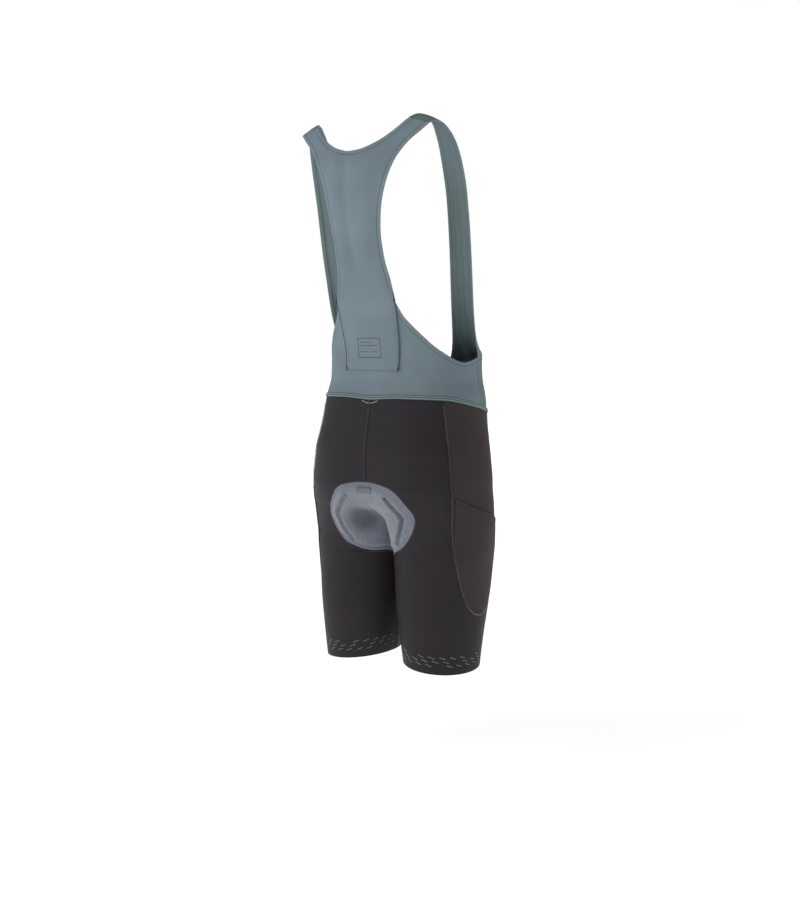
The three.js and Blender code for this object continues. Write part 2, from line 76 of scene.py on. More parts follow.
RIM_GROOVES = (1.5, 4.2)  # stitched lines inside the pad's edge
RECESS = {"angle": 42.0, "off": 27.0, "radius": 43.0}
PAD_TAB = {"angles": (8.8, 3.6), "across": (16, -14), "proud": 3.0, "wall": 0.5}
THIGH_POCKET = {"above_seam": 2.0, "widest": 45.0, "proud": 1.5, "slack": 1.5}
CARE_PANEL = {"left": 26.0, "right": -20.0, "bottom": 545.0, "top": 577.0}
CARE_SUNK = {"frame": 0.1, "bars": 0.7}
HEM_DASH = {
    "rows": (14.0, 21.0, 28.0), "first": -178, "apart": 13.8, "stagger": 4.6, "turn": 7.6, "rise": 3.2,
    "sunk": 0.42,
}
SHOULDER_EASE = 15.0  # length over which the strap is eased to the yoke

# How sewn and folded edges shape the cloth, in millimetres
SEAM_GROOVE = {"depth": 0.4, "width": 0.9}
HEM_ROUNDING = {"depth": 0.4, "width": 0.6}
NEEDLE_GROOVE = {"depth": 0.42, "width": 0.7}
HEM_RISE = {"height": 0.3, "ease": 0.6}
HEM_WALL = 0.8
LEAST_WALL = 0.4

# Threads: how high they lie, how wide they swing and how far apart their turns are
FLAT_SEAM = {"lift": 1.0, "width": 2.8, "pitch": 0.8}
CRESCENT = {"lift": 0.4, "width": 1.5, "pitch": 0.8, "half_angle": 8.5, "drop": 4.2}
TACK = {"turns": 22, "pitch": 0.32, "width": 2.2, "lift": 0.4}
HEM_STITCH_LIFT = -0.05

# Grids
SEAM_STEPS = (0, 0.5, 1.2, 2.2, 3.6)  # grid lines beside a sewn edge
HEM_STEPS = (0, 0.5, 1.2, 2.2, 3.0, 3.6, 4.2, 5.2, 6.6, 7.2, 7.8, 9)  # and beside a folded one
SEAM_LINES = len(SEAM_STEPS) - 1
FLAP_ROWS = 42  # rows of the yoke's grid on the pocket's outer face
TORSO_ROWS = 30  # rows of the front's grid below its strap
STRAP_HEM_ROW = 26  # row of the front's grid where its folded edges begin
ROW_TURN = 4.5  # degrees that the edge of the pad's hole turns from one leg row to the next
LEAST_ROW_GAP = 0.05
NEARLY_ROUND = 179.95
NUDGE = 0.5
FAR = 99.0
STRIDE = 2.0  # less than the gap between the thighs
STRIDES = 130
HALVINGS = 22

# Studio, in metres
FLOOR_SIZE = 60.0
# Box lights: how far from the aim towards the camera, to the right and up, which power they take
# and what share of it, and their width
LIGHTS = (
    ("left_box", (0.7, -2.3, 1.0), "key", 1.0, 1.2),
    ("right_box", (0.5, 2.4, 0.5), "fill", 0.4, 1.5),
    ("top_box", (1.2, 0.0, 2.4), "fill", 0.7, 1.5),
    ("camera_box", (2.3, 0.0, 0.35), "fill", 0.35, 0.6),
    ("front_box", (-2.4, 0.0, 0.9), "fill", 0.8, 2.4),
)


def table(columns, *rows):
    """Rows of numbers under named columns."""
    return {name: np.array([row[i] for row in rows], float) for i, name in enumerate(columns.split())}


# Each half of the body and its leg is an ellipse at every height.
BODY = table(
    "height cx inner outer cy back front blend",
    (-20, 82, 61, 63, 16, 67, 64, 1),
    (20, 82, 64, 67, 16, 71, 68, 1),
    (70, 81, 69, 72, 15, 79, 78, 1),
    (126, 80, 75, 78, 13, 86, 91, 2),
    (194, 78, 76.5, 84.5, 12, 88, 101, 4),
    (218, 74, 73.8, 91.5, 12, 89, 103, 6),
    (235, 68, 68.3, 99, 12, 90, 104, 9),
    (250, 62, 63.5, 107, 13, 92, 104, 14),
    (267, 57, 61, 113, 14, 95, 104, 24),
    (285, 54, 72, 116.5, 15, 99, 104, 36),
    (301, 52, 90, 118, 16, 105, 105, 45),
    (330, 50, 95, 118, 17, 111, 106, 50),
    (381, 50, 98, 112, 16, 111, 106, 50),
    (432, 46, 98, 105, 12, 106, 107, 46),
    (475, 44, 100, 102, 8, 102, 105, 44),
    (510, 42, 96, 96, 6, 98, 101, 44),
    (550, 42, 95, 95, 5, 98, 95, 44),
    (600, 42, 97, 97, 5, 108, 92, 44),
    (660, 42, 100, 100, 5, 126, 90, 44),
)
# Lower edge of the side panel round the leg; it is the same towards the front and the back.
SIDE_SEAM = table(
    "angle height", (0, 110), (14, 116), (26, 133), (34, 160), (40, 194), (43.5, 219), (46.5, 262),
    (47.5, 316), (50, 381), (53, 432), (57, 480),
)
POCKET_TOP = table("angle height", (-46, 262), (0, 286), (25, 300), (46, 318))
WAIST = table(
    "angle height", (0, 474), (30, 477), (60, 475), (90, 461), (115, 448), (145, 440), (180, 437),
)
ARMHOLE = table(
    "angle height", (26, 639), (33, 612), (38, 600), (47, 581), (59, 559), (80, 537), (97, 545),
)
YOKE = table(
    "y z kx ky kz ex ey ez",
    (138, 672, 38, 134, 672, 54, 128, 672),
    (146, 704, 35, 143, 704, 49.5, 138, 704),
    (154, 736, 34, 150, 736, 48.5, 146, 736),
    (160, 764, 36, 157, 766, 51.5, 152, 769),
    (164, 791, 40, 160, 796, 57, 155, 801),
    (165, 814, 46, 161, 823, 66, 154, 833),
    (165, 835, 56, 158, 852, 79, 150, 862),
    (164, 856, 71, 149, 884, 99, 141, 889),
    (162, 868, 83, 141, 908, 116, 133, 904),
    (160, 879, 92.5, 131.5, 927.5, 129.5, 126.5, 916.5),
)
FRONT = table(
    "ix iy iz ex ey ez bow",
    (26, -90, 532, 138.6, -9, 551, 33),
    (50, -62, 549, 143, 4, 564, 22),
    (72, -32, 577, 147, 16, 591, 12),
    (88, -4, 622, 150, 26, 630, 6),
    (96, 12, 675, 152.5, 34, 678, 4),
    (101, 23, 725, 154.5, 42, 726, 3),
    (104, 33, 776, 155.5, 50, 776, 3),
    (107, 45, 821, 155.5, 58, 819, 3),
    (108, 58, 860, 154, 68, 856, 3),
    (110, 73, 893, 150, 79, 887, 3),
    (110, 88, 919, 144, 90, 907, 3),
    (107, 103, 932, 138, 102, 918, 2),
    (101, 117, 934, 134, 114, 921, 2),
    (93, 130, 929, 130, 125, 917, 1),
)
PAD_WIDTH = table(
    "angle half",
    (-1, 0.2), (-0.6, 14), (0.4, 27), (2, 41), (4, 52), (8, 62.5), (14, 71.5), (21, 79.5), (30, 89),
    (38, 93.5), (46, 91.5), (53, 84.5), (60, 71.5), (68, 57.5), (80, 36), (96, 20), (105, 22),
    (115, 30), (125, 38), (134, 38), (139, 28), (142, 12), (143, 0.2),
)
CHANNEL = table("angle off", (13, 41), (33, 70), (54, 68))  # bends of the hollow in each half

# Soft creases: a ridge (positive) or trough along a line over the cloth, from one point to the
# other, with its half width and height.
CREASES = table(
    "x1 y1 z1 x2 y2 z2 width height",
    (18, 100, 300, 70, 104, 268, 11, -0.9),
    (62, 96, 252, 118, 70, 262, 13, -0.7),
    (30, 92, 214, 96, 92, 196, 14, 0.6),
    (112, 66, 236, 150, 20, 250, 12, 0.5),
    (20, -70, 262, 62, -84, 296, 10, -1.0),
    (14, -62, 236, 70, -84, 250, 11, 0.8),
    (40, -84, 322, 96, -74, 352, 13, -0.7),
    (96, -66, 214, 130, -40, 238, 12, -0.6),
    (30, -94, 420, 84, -86, 404, 15, -0.6),
    (40, 108, 440, 96, 92, 452, 14, -0.5),
    (70, 80, 92, 128, 50, 78, 14, -0.5),
    (36, -52, 120, 96, -78, 104, 13, -0.6),
    (24, 30, 60, 40, -30, 90, 10, -0.6),
    (58, -98, 470, 104, -74, 492, 12, -0.6),
    (20, -92, 462, 60, -92, 458, 9, 0.5),
    (88, 78, 500, 126, 44, 520, 13, -0.7),
    (112, 60, 484, 140, 10, 506, 12, 0.6),
)


# Curves through tables


def curve(rows, across, value):
    """Monotone cubic through the rows of a table: one column over another."""
    t, v = rows[across], rows[value]
    slope = np.diff(v) / np.diff(t)
    before, after = slope[:-1], slope[1:]
    same = before * after > 0
    middle = np.where(same, 2 * before * after / np.where(same, before + after, 1), 0)
    tangent = np.concatenate([slope[:1], middle, slope[-1:]])

    def at(x):
        x = np.clip(x, t[0], t[-1])
        i = np.clip(np.searchsorted(t, x, side="right") - 1, 0, len(t) - 2)
        span = t[i + 1] - t[i]
        s = (x - t[i]) / span
        rise = s * s * (3 - 2 * s)
        ends = s * (1 - s) ** 2 * tangent[i] - s * s * (1 - s) * tangent[i + 1]
        return v[i] + (v[i + 1] - v[i]) * rise + span * ends

    return at


def columns_over(rows, across):
    return {name: curve(rows, across, name) for name in rows}


def with_step(rows):
    count = len(next(iter(rows.values())))
    return {**rows, "step": np.arange(count, dtype=float)}


SECTION = columns_over(BODY, "height")
side_seam = curve(SIDE_SEAM, "angle", "height")
pocket_top = curve(POCKET_TOP, "angle", "height")
waist_seam = curve(WAIST, "angle", "height")
armhole = curve(ARMHOLE, "angle", "height")
pad_half = curve(PAD_WIDTH, "angle", "half")


def mix(a, b, t):
    return a + (b - a) * t


def smooth_step(x, low, high):
    s = np.clip((x - low) / (high - low), 0, 1)
    return s * s * (3 - 2 * s)


def bell(x, width):
    """A soft bump: one at zero, and fading out over a width to both sides."""
    return np.exp(-((x / width) ** 2))


def spread_with_ends(count, fine, length):
    """Shares from 0 to 1, evenly spread but for the distances in fine beside both ends."""
    near = np.array(fine) / length
    middle = np.linspace(near[-1], 1 - near[-1], count)
    return np.concatenate([near[:-1], middle, 1 - near[-2::-1]])


# The body as a field: negative inside, zero on the outer face of the cloth


def section(z):
    return {name: at(z) for name, at in SECTION.items()}


def field(x, y, cut):
    depth = np.where(y > cut["cy"], cut["back"], cut["front"])
    size = (cut["inner"] + cut["outer"]) / 2

    def half(at_x):
        side = np.where(at_x > cut["cx"], cut["outer"], cut["inner"])
        return (np.hypot((at_x - cut["cx"]) / side, (y - cut["cy"]) / depth) - 1) * size

    a, b = half(x), half(-x)
    overlap = np.maximum(cut["blend"] - np.abs(a - b), 0) / cut["blend"]
    return np.minimum(a, b) - overlap**2 * cut["blend"] / 4


def outward(points):
    """Outward direction of the body's surface at points on it."""

    def value(q):
        return field(q[..., 0], q[..., 1], section(q[..., 2]))

    slopes = [value(points + step) - value(points - step) for step in NUDGE * np.eye(3)]
    gradient = np.stack(slopes, axis=-1)
    return gradient / np.linalg.norm(gradient, axis=-1, keepdims=True)


def reach(value, shape):
    """First crossing of a field from the inside out, along straight lines."""
    far = np.full(shape, STRIDE)
    for _ in range(STRIDES):
        inside = value(far) < 0
        if not inside.any():
            break
        far = np.where(inside, far + STRIDE, far)
    near = far - STRIDE
    for _ in range(HALVINGS):
        middle = (near + far) / 2
        inside = value(middle) < 0
        near = np.where(inside, middle, near)
        far = np.where(inside, far, middle)
    return far


def leg_point(degrees, z):
    """Points of the left leg's surface at angles round the leg (0 outwards, 90 back) and heights."""
    degrees, z = np.broadcast_arrays(np.asarray(degrees, float), np.asarray(z, float))
    c, s, cut = np.cos(np.radians(degrees)), np.sin(np.radians(degrees)), section(z)
    radius = reach(lambda r: field(LEG_AXIS[0] + r * c, LEG_AXIS[1] + r * s, cut), z.shape)
    return np.stack([LEG_AXIS[0] + radius * c, LEG_AXIS[1] + radius * s, z], axis=-1)


def torso_point(degrees, z):
    """Points of the torso at angles round the body from centre back, towards the left side."""
    degrees, z = np.broadcast_arrays(np.asarray(degrees, float), np.asarray(z, float))
    s, c, cut = np.sin(np.radians(degrees)), np.cos(np.radians(degrees)), section(z)
    radius = reach(lambda r: field(r * s, cut["cy"] + r * c, cut), z.shape)
    return np.stack([radius * s, cut["cy"] + radius * c, z], axis=-1)


def waist_height(point_at, shape):
    z = np.full(shape, WAIST["height"][0])
    for _ in range(6):
        p = point_at(z)
        z = waist_seam(np.degrees(np.arctan2(np.abs(p[..., 0]), p[..., 1] - SECTION["cy"](z))))
    return z


def hem_height(point_at, shape):
    z = np.full(shape, HEM["height"])
    for _ in range(5):
        p = point_at(z)
        z = HEM["height"] + HEM["inward"] * (LEG_AXIS[0] - p[..., 0])
        z = z - HEM["forward"] * (p[..., 1] - LEG_AXIS[1])
    return z


def seat_walk(angles):
    """Lines over the body, walked out from its middle a millimetre a step, one for each angle
    round the pelvis. The result is indexed by distance and angle."""
    c, s = np.cos(np.radians(angles)), np.sin(np.radians(angles))

    def value(x, r):
        return field(x, PAD["centre_y"] + r * c, section(PAD["centre_height"] - r * s))

    x = np.zeros(len(angles))
    r = reach(lambda q: value(0 * q, q), x.shape)
    rows = []
    for _ in range(PAD["reach"] + 1):
        rows.append(np.stack([x, PAD["centre_y"] + r * c, PAD["centre_height"] - r * s], axis=-1))
        dx = (value(x + NUDGE, r) - value(x - NUDGE, r)) / (2 * NUDGE)
        dr = (value(x, r + NUDGE) - value(x, r - NUDGE)) / (2 * NUDGE)
        size = np.hypot(dx, dr)
        x = x + dr / size
        r = r - dx / size
        off = value(x, r)
        x = x - off * dx / size**2
        r = r - off * dr / size**2
    return np.array(rows)


def over_seat(angles, distance):
    """Points at distances (one row for each) out from the middle along the line of each angle."""
    walk = seat_walk(angles)
    low = np.clip(np.floor(distance).astype(int), 0, PAD["reach"] - 1)
    share = (distance - low)[..., None]
    which = np.broadcast_to(np.arange(len(angles)), distance.shape)
    return walk[low, which] * (1 - share) + walk[low + 1, which] * share


def pad_edge(side):
    """Height and angle round the leg along the edge of the pad's hole, from its lowest point."""
    end = PAD_WIDTH["angle"][0 if side > 0 else -1]
    angles = np.linspace(PAD["lowest"], end, 400)
    p = over_seat(angles, pad_half(angles))
    degrees = np.degrees(np.arctan2(p[:, 1] - LEG_AXIS[1], p[:, 0] - LEG_AXIS[0]))
    return np.maximum.accumulate(p[:, 2]), np.minimum(NEARLY_ROUND, (side * degrees + 360) % 360)


PAD_EDGE = {1: pad_edge(1), -1: pad_edge(-1)}


def inner_angle(z, side):
    """Angle round the leg where its panel ends: at the rise seam, the pad's hole or the inseam."""
    edge_z, edge_angle = PAD_EDGE[side]
    heights = np.linspace(edge_z[-1], WAIST["height"].max() + 4, 60)
    cut = section(heights)
    depth = reach(lambda r: field(0 * r, cut["cy"] + side * r, cut), heights.shape)
    y = cut["cy"] + side * depth
    rise = (side * np.degrees(np.arctan2(y - LEG_AXIS[1], -LEG_AXIS[0])) + 360) % 360
    angle = np.where(z > edge_z[-1], np.interp(z, heights, rise), np.interp(z, edge_z, edge_angle))
    return side * np.where(z <= edge_z[0], NEARLY_ROUND, angle)


# Grids of points on the outer face of each piece


def leg_angle(column, z):
    """Columns run from -2 at the front inner edge over -1 to 1, the side, to 2 at the back."""
    back = mix(SIDE_EDGE, inner_angle(z, 1), np.clip(column - 1, 0, 1))
    front = mix(-SIDE_EDGE, inner_angle(z, -1), np.clip(-column - 1, 0, 1))
    return np.where(column > 1, back, np.where(column < -1, front, SIDE_EDGE * column))


def rows_beside_hole(side):
    """Heights beside the pad's hole, close together where the hole's edge runs level."""
    low, top = PAD_EDGE[side][0][0], PAD_EDGE[side][0][-1]
    z = np.linspace(low - 0.3, top, 6000)
    turned = np.abs(np.gradient(inner_angle(z, side)))
    walked = np.cumsum(turned / ROW_TURN)
    return np.interp(np.arange(0, walked[-1]), walked, z)


def leg_grid():
    inner = spread_with_ends(50, (*SEAM_STEPS, 5.5), 210)[::-1]
    inner = 1 - inner[inner > 0.004]
    side = np.linspace(-1, 1, 79)
    columns = np.concatenate([-2 + inner[inner < 1], side[1:-1] * 0.9999, 2 - inner[inner < 1][::-1]])
    columns = np.unique(np.concatenate([columns, [-2, -1, 1, 2]]))
    seam = np.where(np.abs(columns) <= 1, side_seam(np.abs(columns) * SIDE_EDGE), 1e3)
    low = hem_height(lambda z: leg_point(leg_angle(columns, z), z), columns.shape)
    waist = waist_height(lambda z: leg_point(leg_angle(columns, z), z), columns.shape)
    high = np.minimum(waist, seam)
    pad_top = PAD_EDGE[1][0][-1]
    front_top = mix(low[-1], high[-1], (PAD_EDGE[-1][0][-1] - low[0]) / (high[0] - low[0]))
    near_hole = np.array([0, 0.3, 0.7, 1.2, 1.8, 2.6, 3.6, 5, 6.8, 9, 12])
    near_edge = np.array([0, 0.4, 1, 1.8, 2.8, 4, 5.5, 7.5])
    heights = np.concatenate([
        low[-1] + near_edge,
        np.arange(low[-1] + 9.5, high[-1] - 9, 3.0),
        high[-1] - near_edge,
        rows_beside_hole(1),
        rows_beside_hole(-1) + front_top - PAD_EDGE[-1][0][-1],
        pad_top - near_hole,
        [pad_top + 0.3, pad_top + 1.2],
        front_top - near_hole[:9],
        [front_top + 0.3, front_top + 1.2],
    ])
    heights = np.unique(heights)
    heights = heights[np.concatenate([[True], np.diff(heights) > LEAST_ROW_GAP])]
    share = (heights - low[-1]) / (high[-1] - low[-1])
    z = mix(low, high, np.clip(share, 0, 1)[:, None])
    return leg_point(leg_angle(columns, z), z)


def side_grid():
    angles = spread_with_ends(90, (0, 0.4, 1, 1.8, 3), 160) * 2 - 1
    on_seam = angles * SIDE_EDGE
    inset = np.where(np.abs(angles) > 0.995, 0.5, 0.1)
    angle = on_seam * (1 - inset / np.maximum(20, np.abs(on_seam)))
    top = waist_height(lambda z: leg_point(angle, z), angle.shape)
    bottom = np.minimum(side_seam(np.abs(on_seam)), top - 1.2)
    share = spread_with_ends(110, SEAM_STEPS, 350)[:, None]
    z = mix(bottom, top, share)
    return leg_point(np.broadcast_to(angle, z.shape), z)


def pocket_grid():
    widest = THIGH_POCKET["widest"] - 1.2
    angles = mix(-widest, widest, spread_with_ends(70, SEAM_STEPS, 125))
    share = spread_with_ends(60, (*SEAM_STEPS, 5.2, 6, 7), 185)[:, None]
    z = mix(side_seam(np.abs(angles)) + THIGH_POCKET["above_seam"], pocket_top(angles), share)
    p = leg_point(np.broadcast_to(angles, z.shape), z)
    opening = smooth_step(share, 0.72, 1.0) * np.cos(np.radians(angles * 90 / widest)) ** 2
    return p + outward(p) * (THIGH_POCKET["proud"] + THIGH_POCKET["slack"] * opening)[..., None]


def band_grid():
    limit = SIDE_FRONT_SEAM - 0.03
    degrees = mix(limit, -limit, spread_with_ends(130, SEAM_STEPS, 400))
    bottom = waist_height(lambda z: torso_point(degrees, z), degrees.shape)
    off = np.abs(degrees)
    top = np.where(off < ARMHOLE["angle"][0], ARMHOLE["height"][0], armhole(off))
    share = spread_with_ends(36, HEM_STEPS, 100)[:, None]
    z = mix(bottom, top, share)
    return torso_point(np.broadcast_to(degrees, z.shape), z)


def flap_points(x, z):
    """Points on the outer face of the pocket flap."""
    x, z = np.broadcast_arrays(np.asarray(x, float), np.asarray(z, float))
    cut = section(z)
    y = cut["cy"] + reach(lambda r: field(x, cut["cy"] + r, cut), x.shape) + POCKET_FLAP["lift"]
    return np.stack([x, y, z], axis=-1)


def yoke_grid():
    rack = columns_over(with_step(YOKE), "step")
    knee = 0.7  # share of the half width at which the yoke's cross-section bends
    across = 1 - 2 * spread_with_ends(36, HEM_STEPS, 125)
    off, side = np.abs(across), np.sign(across)
    share = spread_with_ends(FLAP_ROWS - 2 * SEAM_LINES, SEAM_STEPS, 115)[:, None]
    half = mix(POCKET_FLAP["bottom_half"], POCKET_FLAP["top_half"], share)
    flap = flap_points(across * half, mix(POCKET_FLAP["bottom"], POCKET_FLAP["top"], share))
    last = len(YOKE["y"]) - 1
    step = (spread_with_ends(96, HEM_STEPS, 300) * last)[:, None]
    at = {name: value(step) for name, value in rack.items()}
    s = off / knee
    inner = np.stack([
        side * at["kx"] * s, mix(at["y"], at["ky"], s**2), mix(at["z"], at["kz"], s**2),
    ], -1)
    s = (off - knee) / (1 - knee)
    outer = np.stack([
        side * mix(at["kx"], at["ex"], s), mix(at["ky"], at["ey"], s), mix(at["kz"], at["ez"], s),
    ], -1)
    racerback = np.where((off <= knee)[None, :, None], inner, outer)
    return smoothed(np.concatenate([flap, racerback]), 3)


def front_grid():
    across = spread_with_ends(16, HEM_STEPS, 62)
    degrees = mix(NEARLY_ROUND, SIDE_FRONT_SEAM + 0.03, across)
    bottom = waist_height(lambda z: torso_point(degrees, z), degrees.shape)
    share = spread_with_ends(TORSO_ROWS - SEAM_LINES, SEAM_STEPS, 90)[:TORSO_ROWS, None]
    z = mix(bottom, mix(*FRONT_TOP, across), share)
    lower = torso_point(np.broadcast_to(degrees, z.shape), z)
    rack = columns_over(with_step(FRONT), "step")
    last = len(FRONT["ix"]) - 1
    step = (spread_with_ends(150, (0, 0.4, 1, 2), 470) * last)[4:, None]
    at = {name: value(step) for name, value in rack.items()}
    inner = np.stack([at["ix"], at["iy"], at["iz"]], axis=-1)
    outer = np.stack([at["ex"], at["ey"], at["ez"]], axis=-1)
    chord = outer - inner
    forward = np.stack([chord[..., 1], -chord[..., 0], 0 * chord[..., 2]], axis=-1)
    forward /= np.linalg.norm(forward, axis=-1, keepdims=True)
    over = smooth_step(step, RIDGE_STEP - 0.5, RIDGE_STEP + 0.5)[..., None]
    forward = mix(forward, np.array([0, 0, 1.0]), over)
    u = across[None, :, None]
    strap = mix(inner, outer, u) + forward * at["bow"][..., None] * 4 * u * (1 - u)
    grid = smoothed(np.concatenate([lower, strap]), 6)
    near = 1 - smooth_step(borders(grid)["top"], 0, SHOULDER_EASE)
    return grid + near[..., None] * (shoulder_seam(across) - grid[-1])


def shoulder_seam(share):
    """The end of the yoke on the left shoulder, from the neck edge to the armhole edge."""
    inner = np.array([YOKE[name][-1] for name in ("kx", "ky", "kz")])
    outer = np.array([YOKE[name][-1] for name in ("ex", "ey", "ez")])
    return mix(inner, outer, share[:, None])


def strip_grid():
    degrees = np.linspace(360, 0, 361)
    low = waist_height(lambda z: torso_point(degrees, z), degrees.shape)
    round_share = np.linspace(0, 1, 9)
    z = low + round_share[:, None] * WAIST_STRIP["width"]
    p = torso_point(np.broadcast_to(degrees, z.shape), z)
    crown = np.sin(np.pi * mix(0.06, 0.94, round_share)) ** 0.45
    return p + outward(p) * (WAIST_STRIP["proud"] * crown)[:, None, None]


def smoothed(grid, rounds):
    """The grid with its rows relaxed lengthwise, ends kept."""
    grid = grid.copy()
    for _ in range(rounds):
        grid[1:-1] = (grid[:-2] + 2 * grid[1:-1] + grid[2:]) / 4
    return grid


# Measures and relief on a grid


def along(grid, axis):
    """Distance over the grid from its first row (axis 0) or column (axis 1)."""
    steps = np.linalg.norm(np.diff(grid, axis=axis), axis=-1)
    start = np.zeros_like(np.take(steps, [0], axis=axis))
    return np.concatenate([start, np.cumsum(steps, axis=axis)], axis=axis)


def borders(grid):
    """Distance of every point from each edge of its piece."""
    up, across = along(grid, 0), along(grid, 1)
    return {"bottom": up, "top": up[-1:] - up, "start": across, "end": across[:, -1:] - across}


def grid_normals(grid):
    up, across = np.gradient(grid, axis=0), np.gradient(grid, axis=1)
    normals = np.cross(across, up)
    return normals / np.maximum(np.linalg.norm(normals, axis=-1, keepdims=True), 1e-9)


def crease_relief(points):
    """Height of the listed creases at points of the left half."""
    relief = np.zeros(points.shape[:-1])
    for x1, y1, z1, x2, y2, z2, width, height in zip(*CREASES.values()):
        start, end = np.array([x1, y1, z1]), np.array([x2, y2, z2])
        line = end - start
        t = np.clip(((points - start) @ line) / (line @ line), -0.35, 1.35)
        off = np.linalg.norm(points - start - t[..., None] * line, axis=-1)
        fade = smooth_step(t, -0.3, 0.25) * (1 - smooth_step(t, 0.75, 1.3))
        relief += height * fade * bell(off, width)
    return relief


def resampled(line, step):
    length = np.concatenate([[0], np.cumsum(np.linalg.norm(np.diff(line, axis=0), axis=1))])
    at = np.linspace(0, length[-1], max(2, int(length[-1] / step) + 1))
    return np.stack([np.interp(at, length, line[:, k]) for k in range(3)], axis=-1)


def edge_distance(points, lines):
    """Distance of points from the nearest of some lines, if there are any."""
    if not lines:
        return np.full(points.shape[:-1], FAR)
    samples = np.concatenate([resampled(line, 0.5) for line in lines])
    tree = KDTree(len(samples))
    for i, sample in enumerate(samples):
        tree.insert(sample, i)
    tree.balance()
    found = [tree.find(point)[2] for point in points.reshape(-1, 3)]
    return np.array(found).reshape(points.shape[:-1])


def edge_lines(grid, sides):
    """Border lines of a grid by name, with lines that are already points kept."""
    known = {"start": grid[:, 0], "end": grid[:, -1], "bottom": grid[0], "top": grid[-1]}
    return [known[side] if isinstance(side, str) else side for side in sides]


def edge_relief(fold, seam, hem_width):
    """How far the outer face sinks at sewn edges, and rises over the folded hems."""
    ease = HEM_RISE["ease"]
    rise = HEM_RISE["height"] * (1 - smooth_step(fold, hem_width - ease, hem_width + ease))
    for groove, distance in (
        (SEAM_GROOVE, seam), (HEM_ROUNDING, fold), (NEEDLE_GROOVE, fold - hem_width * NEEDLE),
    ):
        rise = rise - groove["depth"] * bell(distance, groove["width"])
    return rise


def hem_thickness(fold, hem_width):
    """Extra wall inside where a free edge is folded over."""
    folded = HEM_WALL * (1 - smooth_step(fold, hem_width - 0.5, hem_width + 0.8))
    return folded * smooth_step(fold, -0.2, 0.9)


# Meshes


def to_frame(points):
    return (points - np.array(SHOULDER)) * MM


def new_mesh(name, points, faces, uv=None, values=None):
    """An object from points in millimetres, with a uv map and point attributes for its cloth."""
    mesh = bpy.data.meshes.new(name)
    mesh.from_pydata(to_frame(points).tolist(), [], faces.tolist())
    mesh.polygons.foreach_set("use_smooth", np.ones(len(mesh.polygons), bool))
    if uv is not None:
        corner = np.empty(len(mesh.loops), np.int32)
        mesh.loops.foreach_get("vertex_index", corner)
        mesh.uv_layers.new(name="cloth").data.foreach_set("uv", uv[corner].astype(np.float32).ravel())
    for key, value in (values or {}).items():
        layer = mesh.attributes.new(key, "FLOAT", "POINT")
        layer.data.foreach_set("value", value.astype(np.float32).ravel())
    mesh.update()
    piece = bpy.data.objects.new(name, mesh)
    bpy.context.scene.collection.objects.link(piece)
    return piece


def shell_faces(rows, across, closed):
    """Quads of a wall: outer face, inner face and the strips along its edges."""
    count = across - 1 if closed else across
    index = np.arange(rows * count).reshape(rows, count)
    if closed:
        index = np.concatenate([index, index[:, :1]], axis=1)
    outer, inner = index, index + rows * count

    def quads(a, b, c, d):
        return np.stack([a.ravel(), b.ravel(), c.ravel(), d.ravel()], axis=-1)

    faces = [
        quads(outer[:-1, :-1], outer[:-1, 1:], outer[1:, 1:], outer[1:, :-1]),
        quads(inner[:-1, :-1], inner[1:, :-1], inner[1:, 1:], inner[:-1, 1:]),
        quads(inner[0, :-1], inner[0, 1:], outer[0, 1:], outer[0, :-1]),
        quads(outer[-1, :-1], outer[-1, 1:], inner[-1, 1:], inner[-1, :-1]),
    ]
    if not closed:
        faces.append(quads(outer[:-1, 0], outer[1:, 0], inner[1:, 0], inner[:-1, 0]))
        faces.append(quads(inner[:-1, -1], inner[1:, -1], outer[1:, -1], outer[:-1, -1]))
    return np.concatenate(faces)


def cloth_piece(name, grid, wall, material, on_body=True, seams=(), hems=(), hem_width=7.5,
                closed=False, relief=0.0, inner_relief=0.0):
    """A cloth panel as a thin closed shell whose outer face is the grid, with its relief."""
    fold = edge_distance(grid, edge_lines(grid, hems))
    seam = edge_distance(grid, edge_lines(grid, seams))
    normals = outward(grid) if on_body else grid_normals(grid)
    height = edge_relief(fold, seam, hem_width) + crease_relief(grid) + relief
    thickness = wall + hem_thickness(fold, hem_width) + inner_relief
    thickness = thickness - 0.4 * wall * bell(np.minimum(fold, seam), 0.7)
    outer = grid + normals * height[..., None]
    inner = outer - normals * np.maximum(thickness, LEAST_WALL)[..., None]
    uv = np.stack([along(grid, 1) - along(grid, 1).mean(), grid[..., 2]], axis=-1) * MM
    shown = slice(0, -1) if closed else slice(None)
    points = np.concatenate([outer[:, shown].reshape(-1, 3), inner[:, shown].reshape(-1, 3)])
    values = {"fold": fold / hem_width, "seam": seam}
    values = {key: np.tile(value[:, shown].ravel(), 2) for key, value in values.items()}
    values["inside"] = np.repeat([0.0, 1.0], len(points) // 2)
    uvs = np.tile(uv[:, shown].reshape(-1, 2), (2, 1))
    piece = new_mesh(name, points, shell_faces(*grid.shape[:2], closed), uvs, values)
    piece.data.materials.append(material)
    return piece


def mirror_piece(piece, name):
    """The same piece for the right side."""
    copy = piece.copy()
    copy.data = piece.data.copy()
    copy.name = copy.data.name = name
    count = len(copy.data.vertices)
    place = np.empty(count * 3, np.float32)
    copy.data.vertices.foreach_get("co", place)
    place = place.reshape(-1, 3) * np.array([-1, 1, 1], np.float32)
    copy.data.vertices.foreach_set("co", place.ravel())
    copy.data.flip_normals()
    copy.data.update()
    bpy.context.scene.collection.objects.link(copy)
    return copy


